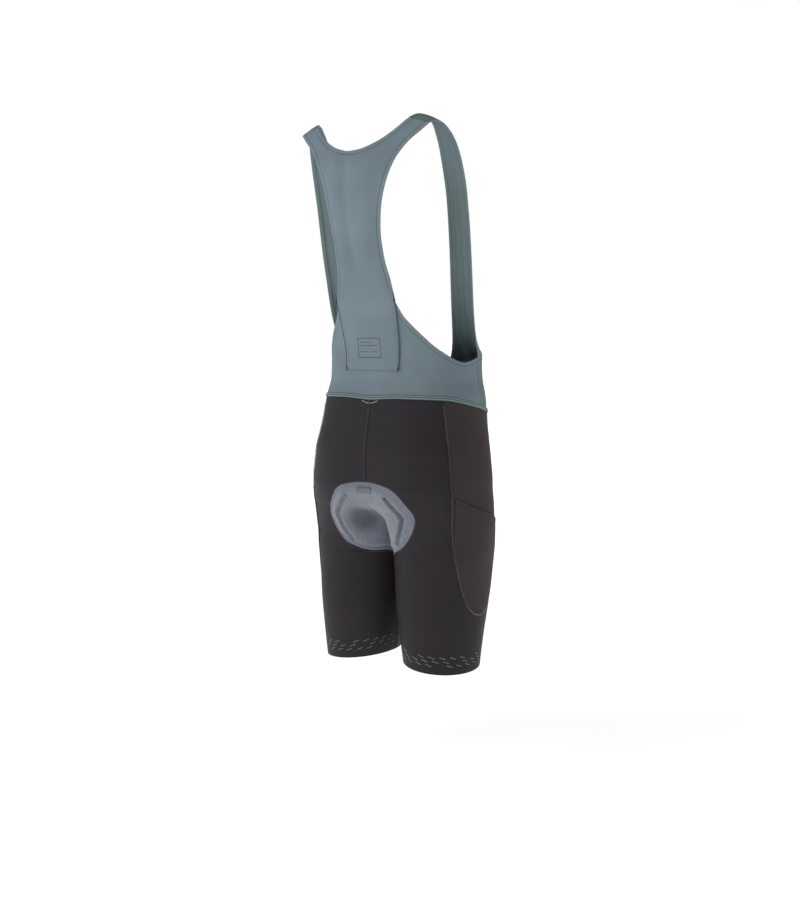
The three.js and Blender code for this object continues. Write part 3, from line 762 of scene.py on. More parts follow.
def inset_line(grid, side, distance, proud=0.0):
    """Points that run along one edge of a grid at a distance inside it, raised off its face."""
    grid = grid + grid_normals(grid) * proud
    if side in ("start", "end"):
        grid = grid.transpose(1, 0, 2)
    if side in ("end", "top"):
        grid = grid[::-1]
    length = along(grid, 0)
    columns = range(grid.shape[1])
    return np.stack([
        np.stack([np.interp(distance, length[:, j], grid[:, j, k]) for k in range(3)]) for j in columns])


def lifted(line, height):
    """A line over the body, raised off its surface."""
    return line + outward(line) * height


def zigzag(line, width, pitch):
    """A thread that swings from side to side of a line over the body."""
    count = 2 * max(1, int(along(line[:, None], 0)[-1, 0] / pitch))
    points = resampled(line, 0.4)
    points = points[np.linspace(0, len(points) - 1, count).astype(int)]
    sideways = np.cross(np.gradient(points, axis=0), outward(points))
    sideways /= np.maximum(np.linalg.norm(sideways, axis=1, keepdims=True), 1e-9)
    swing = np.where(np.arange(count) % 2, 0.5, -0.5)[:, None] * width
    return points + sideways * swing


def both_sides(lines):
    return [*lines, *(line * np.array([-1, 1, 1]) for line in lines)]


def path_mesh(name, lines):
    """Polylines as one mesh of edges."""
    points = np.concatenate(lines)
    edges, first = [], 0
    for line in lines:
        edges += [(first + i, first + i + 1) for i in range(len(line) - 1)]
        first += len(line)
    mesh = bpy.data.meshes.new(name)
    mesh.from_pydata(to_frame(points).tolist(), edges, [])
    piece = bpy.data.objects.new(name, mesh)
    bpy.context.scene.collection.objects.link(piece)
    return piece


# Geometry Nodes for threads


def new_tree(name, sockets):
    tree = bpy.data.node_groups.new(name, "GeometryNodeTree")
    tree.interface.new_socket("Path", in_out="INPUT", socket_type="NodeSocketGeometry")
    for label, default in sockets:
        socket = tree.interface.new_socket(label, in_out="INPUT", socket_type="NodeSocketFloat")
        socket.default_value = default
    tree.interface.new_socket("Thread", in_out="INPUT", socket_type="NodeSocketMaterial")
    tree.interface.new_socket("Sewing", in_out="OUTPUT", socket_type="NodeSocketGeometry")
    return tree


def add(tree, kind, **settings):
    node = tree.nodes.new(kind)
    for key, value in settings.items():
        setattr(node, key, value)
    return node


def set_inputs(node, values):
    for label, value in values.items():
        node.inputs[label].default_value = value
    return node


def wire(tree, *links):
    """Joins sockets, each row giving a node and its output, then a node and its input."""
    for source, output, target, socket in links:
        tree.links.new(source.outputs[output], target.inputs[socket])


def end_tree(tree, given, shape, output):
    """Makes a shape real and of the thread's material, as what the tree puts out."""
    real = add(tree, "GeometryNodeRealizeInstances")
    finish = add(tree, "GeometryNodeSetMaterial")
    wire(
        tree, (shape, output, real, "Geometry"), (real, "Geometry", finish, "Geometry"),
        (given, "Thread", finish, "Material"),
        (finish, "Geometry", add(tree, "NodeGroupOutput"), "Sewing"),
    )


def stitch_tree():
    """Short stitches in a row along each path."""
    sizes = [("Spacing", 0.0027), ("Stitch Length", 0.0021), ("Thread Radius", 0.0003)]
    tree = new_tree("stitch_row", sizes)
    given = add(tree, "NodeGroupInput")
    path = add(tree, "GeometryNodeMeshToCurve")
    points = add(tree, "GeometryNodeResampleCurve", mode="LENGTH")
    bead = set_inputs(add(tree, "GeometryNodeMeshUVSphere"), {"Segments": 6, "Rings": 4, "Radius": 1.0})
    smooth = add(tree, "GeometryNodeSetShadeSmooth")
    half = set_inputs(add(tree, "ShaderNodeMath", operation="MULTIPLY"), {1: 0.5})
    scale = add(tree, "ShaderNodeCombineXYZ")
    heading = add(tree, "GeometryNodeInputTangent")
    turn = add(tree, "FunctionNodeAlignRotationToVector", axis="Z")
    place = add(tree, "GeometryNodeInstanceOnPoints")
    wire(
        tree, (given, "Path", path, "Mesh"), (path, "Curve", points, "Curve"),
        (given, "Spacing", points, "Length"), (given, "Stitch Length", half, 0),
        (given, "Thread Radius", scale, "X"), (given, "Thread Radius", scale, "Y"),
        (half, 0, scale, "Z"), (heading, "Tangent", turn, "Vector"),
        (points, "Curve", place, "Points"), (bead, "Mesh", smooth, "Geometry"),
        (smooth, "Geometry", place, "Instance"), (turn, "Rotation", place, "Rotation"),
        (scale, "Vector", place, "Scale"),
    )
    end_tree(tree, given, place, "Instances")
    return tree


def thread_tree():
    """A round thread that follows each path."""
    tree = new_tree("looper_thread", [("Thread Radius", 0.00028)])
    given = add(tree, "NodeGroupInput")
    path = add(tree, "GeometryNodeMeshToCurve")
    ring = add(tree, "GeometryNodeCurvePrimitiveCircle", mode="RADIUS")
    set_inputs(ring, {"Resolution": 5})
    tube = set_inputs(add(tree, "GeometryNodeCurveToMesh"), {"Fill Caps": True})
    smooth = add(tree, "GeometryNodeSetShadeSmooth")
    wire(
        tree, (given, "Path", path, "Mesh"), (given, "Thread Radius", ring, "Radius"),
        (path, "Curve", tube, "Curve"), (ring, "Curve", tube, "Profile Curve"),
        (tube, "Mesh", smooth, "Geometry"),
    )
    end_tree(tree, given, smooth, "Geometry")
    return tree


def sew(name, lines, tree, material, **sizes):
    """Runs a tree over paths and keeps the result as one plain mesh."""
    path = path_mesh(name + "_path", lines)
    modifier = path.modifiers.new("sewing", "NODES")
    modifier.node_group = tree
    sockets = {item.name: item.identifier for item in tree.interface.items_tree if item.in_out == "INPUT"}
    for label, value in sizes.items():
        modifier[sockets[label.replace("_", " ")]] = value
    modifier[sockets["Thread"]] = material
    seen = path.evaluated_get(bpy.context.evaluated_depsgraph_get())
    mesh = bpy.data.meshes.new_from_object(seen)
    bpy.data.objects.remove(path)
    mesh.name = name
    mesh.materials.clear()
    mesh.materials.append(material)
    piece = bpy.data.objects.new(name, mesh)
    bpy.context.scene.collection.objects.link(piece)
    return piece


# Shader groups and materials


def new_group(name, inputs, outputs):
    group = bpy.data.node_groups.new(name, "ShaderNodeTree")
    for label, kind, default in inputs:
        socket = group.interface.new_socket(label, in_out="INPUT", socket_type=kind)
        if default is not None:
            socket.default_value = default
    for label, kind in outputs:
        group.interface.new_socket(label, in_out="OUTPUT", socket_type=kind)
    return group


def math_node(tree, operation, first, second=None, third=None):
    node = add(tree, "ShaderNodeMath", operation=operation)
    for socket, value in zip(node.inputs, (first, second, third)):
        if value is None:
            continue
        if isinstance(value, (int, float)):
            socket.default_value = value
        else:
            tree.links.new(value, socket)
    return node.outputs[0]


def knit_group():
    """A fine jersey knit: rows of small V stitches. Gives its height and its tone."""
    group = new_group(
        "jersey_knit",
        [("Cloth", "NodeSocketVector", None), ("Pitch", "NodeSocketFloat", 0.0011)],
        [("Height", "NodeSocketFloat"), ("Tone", "NodeSocketFloat")],
    )
    calc = partial(math_node, group)
    given, made = add(group, "NodeGroupInput"), add(group, "NodeGroupOutput")
    split = add(group, "ShaderNodeSeparateXYZ")
    group.links.new(given.outputs["Cloth"], split.inputs[0])
    turn = calc("DIVIDE", 2 * math.pi, given.outputs["Pitch"])
    across = calc("MULTIPLY", split.outputs["X"], turn)
    up = calc("MULTIPLY", split.outputs["Y"], turn)
    rib = calc("ABSOLUTE", calc("SINE", calc("MULTIPLY", across, 0.5)))
    loop = calc("SINE", calc("ADD", up, calc("MULTIPLY", rib, 2.4)))
    height = calc("MULTIPLY_ADD", loop, 0.35, rib)
    fuzz = speckle(group, given.outputs["Cloth"], 900, 3)
    tone = calc("MULTIPLY_ADD", fuzz, 0.5, calc("MULTIPLY", height, 0.25))
    group.links.new(height, made.inputs["Height"])
    group.links.new(tone, made.inputs["Tone"])
    return group


def hole_group():
    """Rows of small round holes, every second row shifted, as on an open mesh knit."""
    group = new_group(
        "mesh_holes",
        [("Cloth", "NodeSocketVector", None), ("Pitch", "NodeSocketFloat", 0.0018)],
        [("Hole", "NodeSocketFloat")],
    )
    calc = partial(math_node, group)
    given, made = add(group, "NodeGroupInput"), add(group, "NodeGroupOutput")
    split = add(group, "ShaderNodeSeparateXYZ")
    group.links.new(given.outputs["Cloth"], split.inputs[0])
    column = calc("DIVIDE", split.outputs["X"], given.outputs["Pitch"])
    row = calc("DIVIDE", split.outputs["Y"], given.outputs["Pitch"])
    shift = calc("MULTIPLY", calc("MODULO", calc("FLOOR", row), 2.0), 0.5)
    x = calc("SUBTRACT", calc("FRACT", calc("ADD", column, shift)), 0.5)
    y = calc("SUBTRACT", calc("FRACT", row), 0.5)
    squares = calc("ADD", calc("MULTIPLY", x, x), calc("MULTIPLY", y, y))
    ramp = add(group, "ShaderNodeMapRange", interpolation_type="SMOOTHSTEP")
    set_inputs(ramp, {"From Min": 0.16, "From Max": 0.03})
    group.links.new(squares, ramp.inputs["Value"])
    group.links.new(ramp.outputs["Result"], made.inputs["Hole"])
    return group


GROUPS = {}
MATERIALS = {}


def group_node(tree, name, maker):
    """A node of a shared group, which is built at its first use."""
    if name not in GROUPS:
        GROUPS[name] = maker()
    node = add(tree, "ShaderNodeGroup")
    node.node_tree = GROUPS[name]
    return node


def new_material(name):
    material = bpy.data.materials.new(name)
    material.use_nodes = True
    return material, material.node_tree, material.node_tree.nodes["Principled BSDF"]


def attribute(tree, name):
    return add(tree, "ShaderNodeAttribute", attribute_name=name).outputs["Fac"]


def object_place(tree):
    return add(tree, "ShaderNodeTexCoord").outputs["Object"]


def speckle(tree, place, scale, detail):
    """Noise over a surface."""
    noise = set_inputs(add(tree, "ShaderNodeTexNoise"), {"Scale": scale, "Detail": detail})
    tree.links.new(place, noise.inputs["Vector"])
    return noise.outputs["Fac"]


def span(tree, value, low, high, to_low, to_high):
    node = add(tree, "ShaderNodeMapRange", interpolation_type="SMOOTHSTEP")
    tree.links.new(value, node.inputs["Value"])
    set_inputs(node, {"From Min": low, "From Max": high, "To Min": to_low, "To Max": to_high})
    return node.outputs["Result"]


def product(tree, first, *others):
    for other in others:
        first = math_node(tree, "MULTIPLY", first, other)
    return first


def paint(tree, surface, colour, factor):
    """Gives a surface its colour times a factor that changes over it."""
    scale = add(tree, "ShaderNodeVectorMath", operation="SCALE")
    if isinstance(colour, tuple):
        scale.inputs[0].default_value = colour
    else:
        tree.links.new(colour, scale.inputs[0])
    tree.links.new(factor, scale.inputs["Scale"])
    tree.links.new(scale.outputs["Vector"], surface.inputs["Base Color"])


def two_colours(tree, first, second, share):
    blend = add(tree, "ShaderNodeMix", data_type="RGBA")
    set_inputs(blend, {"A": (*first, 1), "B": (*second, 1)})
    tree.links.new(share, blend.inputs["Factor"])
    return blend.outputs["Result"]


def bumped(tree, surface, height, strength, distance):
    relief = set_inputs(add(tree, "ShaderNodeBump"), {"Strength": strength, "Distance": distance})
    tree.links.new(height, relief.inputs["Height"])
    tree.links.new(relief.outputs["Normal"], surface.inputs["Normal"])


def picked(name):
    """A colour from the panel."""
    return tuple(getattr(bpy.context.scene.bib_colours, name))


def cloth_material(name, colour, inside=1.0, pitch=0.0011, sheen=0.14, roughness=0.68, holes=False,
                   hem_tone=1.06, needle_tone=0.58, mottle=0.06):
    """Knitted cloth: fine loops, cloudy tone, paler folded hems and dark stitch lines, with its inner face
    darkened by the inside share as painted shade.
    """
    outer = picked(colour)
    material, tree, surface = new_material(name)
    uv = add(tree, "ShaderNodeUVMap", uv_map="cloth").outputs["UV"]
    knit = set_inputs(group_node(tree, "knit", knit_group), {"Pitch": pitch})
    tree.links.new(uv, knit.inputs["Cloth"])
    loops, height, fold = knit.outputs["Tone"], knit.outputs["Height"], attribute(tree, "fold")
    needle = math_node(tree, "ABSOLUTE", math_node(tree, "SUBTRACT", fold, NEEDLE))
    tone = product(
        tree,
        span(tree, speckle(tree, object_place(tree), 14, 4), 0.3, 0.7, 1 - mottle, 1 + mottle),
        span(tree, loops, 0.2, 0.75, 0.93, 1.06),
        span(tree, fold, 0.92, 1.04, hem_tone, 1.0),
        span(tree, needle, 0.04, 0.15, needle_tone, 1.0),
        span(tree, attribute(tree, "seam"), 0.0, 0.9, 0.55, 1.0),
    )
    if holes:
        holed = group_node(tree, "holes", hole_group)
        tree.links.new(uv, holed.inputs["Cloth"])
        hole = holed.outputs["Hole"]
        tone = product(tree, tone, span(tree, hole, 0, 1, 1.12, 0.45))
        height = math_node(tree, "SUBTRACT", height, product(tree, hole, 1.6))
    # The inner face takes the outer colour times the inside share: painted shade where that share is below
    # one.
    inner = tuple(c * inside for c in outer)
    paint(tree, surface, two_colours(tree, outer, inner, attribute(tree, "inside")), tone)
    rough = span(tree, loops, 0.2, 0.8, roughness - 0.06, roughness + 0.08)
    tree.links.new(rough, surface.inputs["Roughness"])
    bumped(tree, surface, height, 0.3, 0.0003)
    set_inputs(surface, {
        "Sheen Weight": sheen, "Sheen Roughness": 0.45, "Specular IOR Level": 0.18,
        "Sheen Tint": (*(min(1.0, c * 2 + 0.06) for c in outer), 1),
    })
    return material


def thread_material(name, colour):
    """Spun thread: fine twist across it, slightly uneven in tone."""
    material, tree, surface = new_material(name)
    twist = speckle(tree, object_place(tree), 2600, 2)
    paint(tree, surface, picked(colour), span(tree, twist, 0.3, 0.7, 0.8, 1.15))
    bumped(tree, surface, twist, 0.4, 0.0001)
    set_inputs(surface, {"Roughness": 0.6, "Sheen Weight": 0.2})
    return material


def film_material(name, colour, roughness):
    """A heat-pressed print: a thin smooth film with a worn, speckled face."""
    material, tree, surface = new_material(name)
    wear = speckle(tree, object_place(tree), 420, 4)
    paint(tree, surface, picked(colour), span(tree, wear, 0.35, 0.65, 0.75, 1.1))
    rough = span(tree, wear, 0.3, 0.7, roughness - 0.08, roughness + 0.12)
    tree.links.new(rough, surface.inputs["Roughness"])
    return material


def pad_material(name, colour, hollow_shade_colour):
    """Brushed knit over moulded foam: mottled, with fine perforations in its hollows, which also take a
    darker colour as painted shade.
    """
    material, tree, surface = new_material(name)
    place, hollow = object_place(tree), attribute(tree, "hollow")
    nap, blotch = speckle(tree, place, 700, 5), speckle(tree, place, 130, 3)
    holes = set_inputs(group_node(tree, "holes", hole_group), {"Pitch": 0.0032})
    tree.links.new(add(tree, "ShaderNodeUVMap", uv_map="cloth").outputs["UV"], holes.inputs["Cloth"])
    pierced = product(tree, holes.outputs["Hole"], product(tree, hollow, 0.3))
    tone = product(
        tree, span(tree, nap, 0.3, 0.7, 0.9, 1.08), span(tree, blotch, 0.3, 0.7, 0.93, 1.07),
        math_node(tree, "SUBTRACT", 1.0, pierced),
    )
    # Channels and recess take the darker colour through the hollow attribute: painted shade.
    paint(tree, surface, two_colours(tree, picked(colour), picked(hollow_shade_colour), hollow), tone)
    bumped(tree, surface, math_node(tree, "SUBTRACT", nap, pierced), 0.35, 0.0004)
    tree.links.new(span(tree, nap, 0.3, 0.7, 0.74, 0.9), surface.inputs["Roughness"])
    set_inputs(surface, {"Sheen Weight": 0.4, "Sheen Roughness": 0.5, "Specular IOR Level": 0.2})
    return material


# Each finish: its maker, its name, its colour in the panel and what differs from the usual
FINISHES = {
    # The bib's inner face is 0.86 as bright as its outer face: painted shade.
    "bib": (cloth_material, "bib_knit", "bib", {"inside": 0.86}),
    "front": (cloth_material, "strap_knit", "front", {"hem_tone": 1.08}),
    "strip": (cloth_material, "seam_strip_knit", "strip", {"sheen": 0.1, "hem_tone": 1.0}),
    "leg": (cloth_material, "leg_knit", "leg", {
        "pitch": 0.001, "sheen": 0.08, "roughness": 0.6, "hem_tone": 1.0, "needle_tone": 1.0,
        "mottle": 0.04}),
    "mesh": (cloth_material, "side_mesh_knit", "mesh", {
        "pitch": 0.0014, "roughness": 0.72, "holes": True}),
    "tab": (cloth_material, "pad_tab_weave", "pad_tab", {"pitch": 0.0009, "sheen": 0.1, "hem_tone": 0.8}),
    "pad": (pad_material, "pad_knit", "pad", {"hollow_shade_colour": "pad_hollow_shade"}),
    "print": (film_material, "hem_print_film", "hem_print", {"roughness": 0.42}),
    "label": (film_material, "label_film", "label", {"roughness": 0.5}),
}
for thread in ("bib_thread", "pale_thread", "leg_thread", "rim_thread", "rim_dark_thread"):
    FINISHES[thread] = (thread_material, thread, thread, {})


def material_for(key):
    """A finish, made once from the colours in the panel."""
    if key not in MATERIALS:
        maker, name, colour, differs = FINISHES[key]
        MATERIALS[key] = maker(name, colour, **differs)
    return MATERIALS[key]


# Keeping pieces

SHAPES = {}  # grids that the sewing follows
STRETCH = {"wide": 1.12, "long": 1.03}  # worn over cut, round the body and along it
LEAST_CUT = 0.011  # the least width or length of a cut that is given, in metres


def cut_size(grid, wide, long):
    """The flat cut of a panel: its largest width and length, and its area, before it is stretched."""
    cell = np.linalg.norm(np.cross(
        grid[1:, :-1] - grid[:-1, :-1], grid[:-1, 1:] - grid[:-1, :-1]), axis=-1)
    area = cell.sum() * MM * MM / (wide * long)
    level = np.hypot(*np.moveaxis(np.diff(grid[..., :2], axis=1), -1, 0)).sum(axis=1)
    width = max(level.max() * MM / wide, LEAST_CUT)
    length = max(along(grid, 0)[-1].max() * MM / long, LEAST_CUT)
    return (width, length), min(area, width * length)


def keep(piece, slot, grid=None, replaces=(), stretch=STRETCH):
    """Puts a finished piece on the root body and hides the parts that it replaces; its flat cut is worked
    out but not kept.
    """
    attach(piece, "root")
    if replaces:
        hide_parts(*replaces)
    if grid is not None:
        flat, area = cut_size(grid, **stretch)


def keep_pair(piece, base, slot, grid):
    """The left piece and its mirror image."""
    other = mirror_piece(piece, base + "_cloth_right")
    for side, part in (("left", piece), ("right", other)):
        keep(part, slot, grid, (f"{base}_{side}",))


# Shapes of the smaller pieces


def yoke_top_edges(grid):
    """The neck edge of the yoke, and its two ends on the shoulders."""
    off = np.abs(grid[-1, :, 0])
    corner = YOKE["kx"][-1]
    neck = grid[-1][off <= corner + 2]
    return neck, (grid[-1][grid[-1, :, 0] >= corner], grid[-1][grid[-1, :, 0] <= -corner])


def blade_relief(grid):
    """Soft upright hollows and swells of the yoke between the shoulder blades."""
    x, up = grid[..., 0], grid[..., 2]
    blades = smooth_step(up, 650, 720) * (1 - smooth_step(up, 860, 905))
    lean = (up - 740) / 110
    hollow = -4.2 * bell(x - 11 - 2 * lean, 11)
    swell = 2.0 * bell(x + 22 + 12 * lean, 12) + 0.9 * bell(x - 36, 9)
    return blades * (hollow + swell)


def pad_grid():
    """Points over the pad from its front to its back, with their angle and signed distance."""
    first, last = PAD_WIDTH["angle"][0] + 0.06, PAD_WIDTH["angle"][-1] - 0.06
    near = np.array([0, 0.1, 0.25, 0.45, 0.7, 1.0, 1.4, 1.9, 2.5])
    angles = np.concatenate([first + near, np.arange(first + 3.2, last - 2.8, 0.7), (last - near)[::-1]])
    share = spread_with_ends(96, (0, 0.7, 1.4, 2.2, 3.0, 4.0, 5.0, 6.2), 190) * 2 - 1
    distance = np.abs(share)[:, None] * np.maximum(pad_half(angles) - 0.12, 0.3)
    grid = over_seat(angles, distance)
    grid[..., 0] *= np.sign(share)[:, None]
    across = distance * np.sign(share)[:, None]
    angle = angles + 0 * distance
    return [value.swapaxes(0, 1)[::-1, ::-1] for value in (grid, angle, across)]


def channel_distance(off, angle):
    """Distance over the pad from the bent channel in each of its halves."""
    down = angle * PAD_TURN
    nearest = np.full(off.shape, FAR)
    bends = list(zip(CHANNEL["angle"] * PAD_TURN, CHANNEL["off"]))
    for (a1, o1), (a2, o2) in zip(bends, bends[1:]):
        da, do = a2 - a1, o2 - o1
        t = np.clip(((down - a1) * da + (off - o1) * do) / (da * da + do * do), 0, 1)
        nearest = np.minimum(nearest, np.hypot(down - a1 - t * da, off - o1 - t * do))
    return nearest


def pad_relief(rim, across, angle):
    """Height of the moulded foam over its sewn rim, and the share of painted shade in its channels and
    recess.
    """
    off = np.abs(across)
    relief = -0.5 * bell(rim, 0.8) + 2.9 * smooth_step(rim, 5.6, 13)
    for groove in RIM_GROOVES:
        relief = relief - 0.4 * bell(rim - groove, 0.7)
    channel = channel_distance(off, angle)
    sunk = 1 - smooth_step(channel, 2.8, 5.4)
    relief = relief - 2.7 * sunk + 0.7 * bell(channel - 7, 1.7)
    away = np.hypot((angle - RECESS["angle"]) * PAD_TURN, off - RECESS["off"])
    # The recess is deeper, and its painted shade stronger, in the left half than in the right.
    side = np.where(across > 0, 1.0, 0.2)
    bowl = side * (1 - smooth_step(away, 12, RECESS["radius"]))
    rings = 0.12 * np.sin(away * 1.5) * bowl
    front = smooth_step(angle, 84, 100)
    middle = bell(off, 4.5) * smooth_step(angle, 16, 30)
    relief = relief - 2.2 * bowl + rings - 1.6 * middle - 1.2 * front * smooth_step(rim, 8, 16)
    # Painted shade in the channels, weaker in the left half than in the right.
    shown = np.where(across > 0, 0.4, 0.85)
    return relief, np.clip(shown * sunk + 0.9 * bowl, 0, 1)


def pad_tab_grid():
    """A small woven tab at the top of the pad."""
    angles = np.linspace(*PAD_TAB["angles"], 12)
    across = np.linspace(*PAD_TAB["across"], 26)
    grid = over_seat(angles, np.abs(across)[:, None] + 0 * angles)
    grid[..., 0] *= np.sign(across)[:, None]
    grid = grid.swapaxes(0, 1)
    return grid + outward(grid) * PAD_TAB["proud"]


def rim_line(inset):
    """Line round the pad at a distance inside its edge, or outside it on the leg panels."""
    first, last = PAD_WIDTH["angle"][0] + 0.02, PAD_WIDTH["angle"][-1] - 0.02
    angles = mix(first, last, (1 - np.cos(np.linspace(0, math.pi, 700))) / 2)
    edge = np.stack([angles * PAD_TURN, pad_half(angles)], axis=-1)
    ring = resampled(np.c_[np.concatenate([edge, edge[::-1] * [1, -1]]), np.zeros(2 * len(edge))], 1.0)
    along_ring = np.gradient(ring[:, :2], axis=0)
    along_ring /= np.linalg.norm(along_ring, axis=1, keepdims=True)
    ring = ring[:, :2] + np.stack([along_ring[:, 1], -along_ring[:, 0]], axis=-1) * inset
    angle, across = ring[:, 0] / PAD_TURN, ring[:, 1]
    line = over_seat(angle, np.abs(across))
    height = pad_relief(np.full(len(angle), inset), across, angle)[0] if inset > 0 else 0 * angle
    facing = outward(line)
    line = line + facing * (height + 0.15)[:, None]
    line[:, 0] *= np.sign(across)
    return line[2:-2]


def bartack(first, second):
    """A short dense tack across the line from one point to the next."""
    heading = (second - first) / np.linalg.norm(second - first)
    sideways = np.cross(heading, [0, 1, 0])
    turns = np.arange(TACK["turns"])
    swing = np.where(turns % 2, 0.5, -0.5)[:, None] * sideways * TACK["width"]
    ahead = (turns - TACK["turns"] // 2)[:, None] * TACK["pitch"]
    return first + heading * ahead + swing + [0, TACK["lift"], 0]


def dash_lines():
    """Short slanted dashes in three staggered rows round the leg, in broken groups."""
    lines = []
    along_dash = np.linspace(0, 1, 7)
    for row, above in enumerate(HEM_DASH["rows"]):
        for k in range(26):
            if (k + 2 * row) % 6 == 5:
                continue
            start = HEM_DASH["first"] + HEM_DASH["apart"] * k + HEM_DASH["stagger"] * row
            degrees = start + HEM_DASH["turn"] * along_dash
            low = hem_height(lambda z, turn=degrees: leg_point(turn, z), degrees.shape)
            dash = leg_point(degrees, low + above + HEM_DASH["rise"] * along_dash)
            lines.append(lifted(dash, -HEM_DASH["sunk"]))
    return lines


def care_panel_frame():
    left, right, bottom, top = CARE_PANEL.values()
    across, up = np.linspace(left, right, 30), np.linspace(bottom, top, 20)
    ends = ((across, bottom), (across, top), (left, up), (right, up))
    return [flap_points(x, z) - [0, CARE_SUNK["frame"], 0] for x, z in ends]


def care_panel_bars():
    """Blank bars where a care text would stand."""
    left, right, bottom, top = CARE_PANEL.values()
    bars = ((0.80, 0.10, 0.55), (0.62, 0.10, 0.85), (0.30, 0.10, 0.40), (0.30, 0.55, 0.88))
    lines = []
    for height, start, end in bars:
        x = np.linspace(mix(left, right, start), mix(left, right, end), 14)
        lines.append(flap_points(x, mix(bottom, top, height)) - [0, CARE_SUNK["bars"], 0])
    return lines


# Operators


class BIB_OT_legs(bpy.types.Operator):
    """Makes both leg panels"""

    bl_idname = "bib.legs"
    bl_label = "Leg Panels"

    def execute(self, context):
        grid = SHAPES["leg"] = leg_grid()
        piece = cloth_piece(
            "leg_cloth_left", grid, context.scene.bib_sizes.cloth / MM, material_for("leg"),
            seams=("start", "end", "top"), hems=("bottom",), hem_width=1.6)
        keep_pair(piece, "leg", "leg_cloth", grid)
        return {"FINISHED"}


class BIB_OT_side_panels(bpy.types.Operator):
    """Makes the mesh side panels and the thigh pockets that lie on them"""

    bl_idname = "bib.side_panels"
    bl_label = "Side Panels and Thigh Pockets"

    def execute(self, context):
        sizes = context.scene.bib_sizes
        grid = SHAPES["side"] = side_grid()
        piece = cloth_piece(
            "side_panel_cloth_left", grid, sizes.cloth / MM, material_for("mesh"),
            seams=("start", "end", "top", "bottom"))
        keep_pair(piece, "side_panel", "side_mesh", grid)
        grid = pocket_grid()
        piece = cloth_piece(
            "thigh_pocket_cloth_left", grid, sizes.overlay / MM, material_for("mesh"),
            seams=("start", "end", "bottom"), hems=("top",), hem_width=6.0)
        keep_pair(piece, "thigh_pocket", "side_mesh", grid)
        return {"FINISHED"}


class BIB_OT_band(bpy.types.Operator):
    """Makes the waist band with both side wings, and the coverstitched strip at its foot"""

    bl_idname = "bib.band"
    bl_label = "Waist Band"

    def execute(self, context):
        sizes = context.scene.bib_sizes
        grid = SHAPES["band"] = band_grid()
        piece = cloth_piece(
            "band_cloth", grid, sizes.cloth / MM, material_for("bib"),
            seams=("start", "end", "bottom"), hems=("top",), hem_width=sizes.hem / MM)
        keep(piece, "bib_cloth", grid, ("back_band",))
        grid = SHAPES["strip"] = strip_grid()
        piece = cloth_piece(
            "waist_strip_cloth", grid, WAIST_STRIP["wall"], material_for("strip"), closed=True)
        keep(piece, "seam_strip", grid, ("waist_seam_strip",))
        return {"FINISHED"}


class BIB_OT_yoke(bpy.types.Operator):
    """Makes the racerback yoke with the outer face of the back pocket"""

    bl_idname = "bib.yoke"
    bl_label = "Racerback Yoke"

    def execute(self, context):
        sizes = context.scene.bib_sizes
        grid = SHAPES["yoke"] = yoke_grid()
        neck, shoulders = yoke_top_edges(grid)
        piece = cloth_piece(
            "yoke_cloth", grid, sizes.cloth / MM, material_for("bib"), on_body=False,
            seams=("bottom", grid[:FLAP_ROWS, 0], grid[:FLAP_ROWS, -1], *shoulders),
            hems=(grid[FLAP_ROWS:, 0], grid[FLAP_ROWS:, -1], neck), hem_width=sizes.hem / MM,
            relief=blade_relief(grid))
        keep(piece, "bib_cloth", grid, ("back_yoke",))
        return {"FINISHED"}


class BIB_OT_fronts(bpy.types.Operator):
    """Makes both half fronts with their shoulder straps"""

    bl_idname = "bib.fronts"
    bl_label = "Fronts and Straps"

    def execute(self, context):
        sizes = context.scene.bib_sizes
        grid = SHAPES["front"] = front_grid()
        strap = grid[..., 2] > FRONT_TOP[1]
        share = along(grid, 1) / along(grid, 1)[:, -1:]
        ridges = 2.0 * bell(share - 0.62, 0.1) + 1.4 * bell(share - 0.34, 0.07)
        piece = cloth_piece(
            "front_cloth_left", grid, sizes.cloth / MM, material_for("front"), on_body=False,
            seams=("bottom", "top", grid[:TORSO_ROWS, 0], grid[:TORSO_ROWS, -1]),
            hems=(grid[STRAP_HEM_ROW:, 0], grid[STRAP_HEM_ROW:, -1]),
            hem_width=sizes.hem / MM, inner_relief=ridges * strap)
        keep_pair(piece, "front", "bib_cloth", grid)
        return {"FINISHED"}


class BIB_OT_pad(bpy.types.Operator):
    """Makes the moulded seat pad with its rim, cushions and channels, and its plain tab"""

    bl_idname = "bib.pad"
    bl_label = "Seat Pad"

    def execute(self, context):
        grid, angle, across = pad_grid()
        rim = edge_distance(grid, [np.concatenate([grid[0], grid[:, -1], grid[-1, ::-1], grid[::-1, 0]])])
        # hollow is the share of painted shade in the pad's channels and recess.
        relief, hollow = pad_relief(rim, across, angle)
        normals = outward(grid)
        points = np.concatenate([
            (grid + normals * relief[..., None]).reshape(-1, 3),
            (grid - normals * PAD["under"]).reshape(-1, 3)])
        uv = np.stack([across, np.radians(angle) * PAD["radius"]], axis=-1).reshape(-1, 2) * MM
        piece = new_mesh(
            "seat_pad_cushion", points, shell_faces(*grid.shape[:2], False), np.tile(uv, (2, 1)),
            {"hollow": np.tile(hollow.ravel(), 2)})
        piece.data.materials.append(material_for("pad"))
        keep(piece, "pad_foam", replaces=("seat_pad",))
        grid = pad_tab_grid()
        piece = cloth_piece(
            "pad_tab", grid, PAD_TAB["wall"], material_for("tab"),
            hems=("start", "end", "top", "bottom"), hem_width=2.0)
        keep(piece, "pad_foam", grid,
             stretch={"wide": 1.0, "long": 1.0})
        return {"FINISHED"}


def stitch(name, lines, tree, finish, slot, **sizes):
    """Sews one kind of stitch and puts it on the root body."""
    keep(sew(name, lines, tree, material_for(finish), **sizes), slot)


def seam_thread(line, kind):
    """The thread of a flat seam, which swings over its line."""
    return zigzag(lifted(line, kind["lift"]), kind["width"], kind["pitch"])


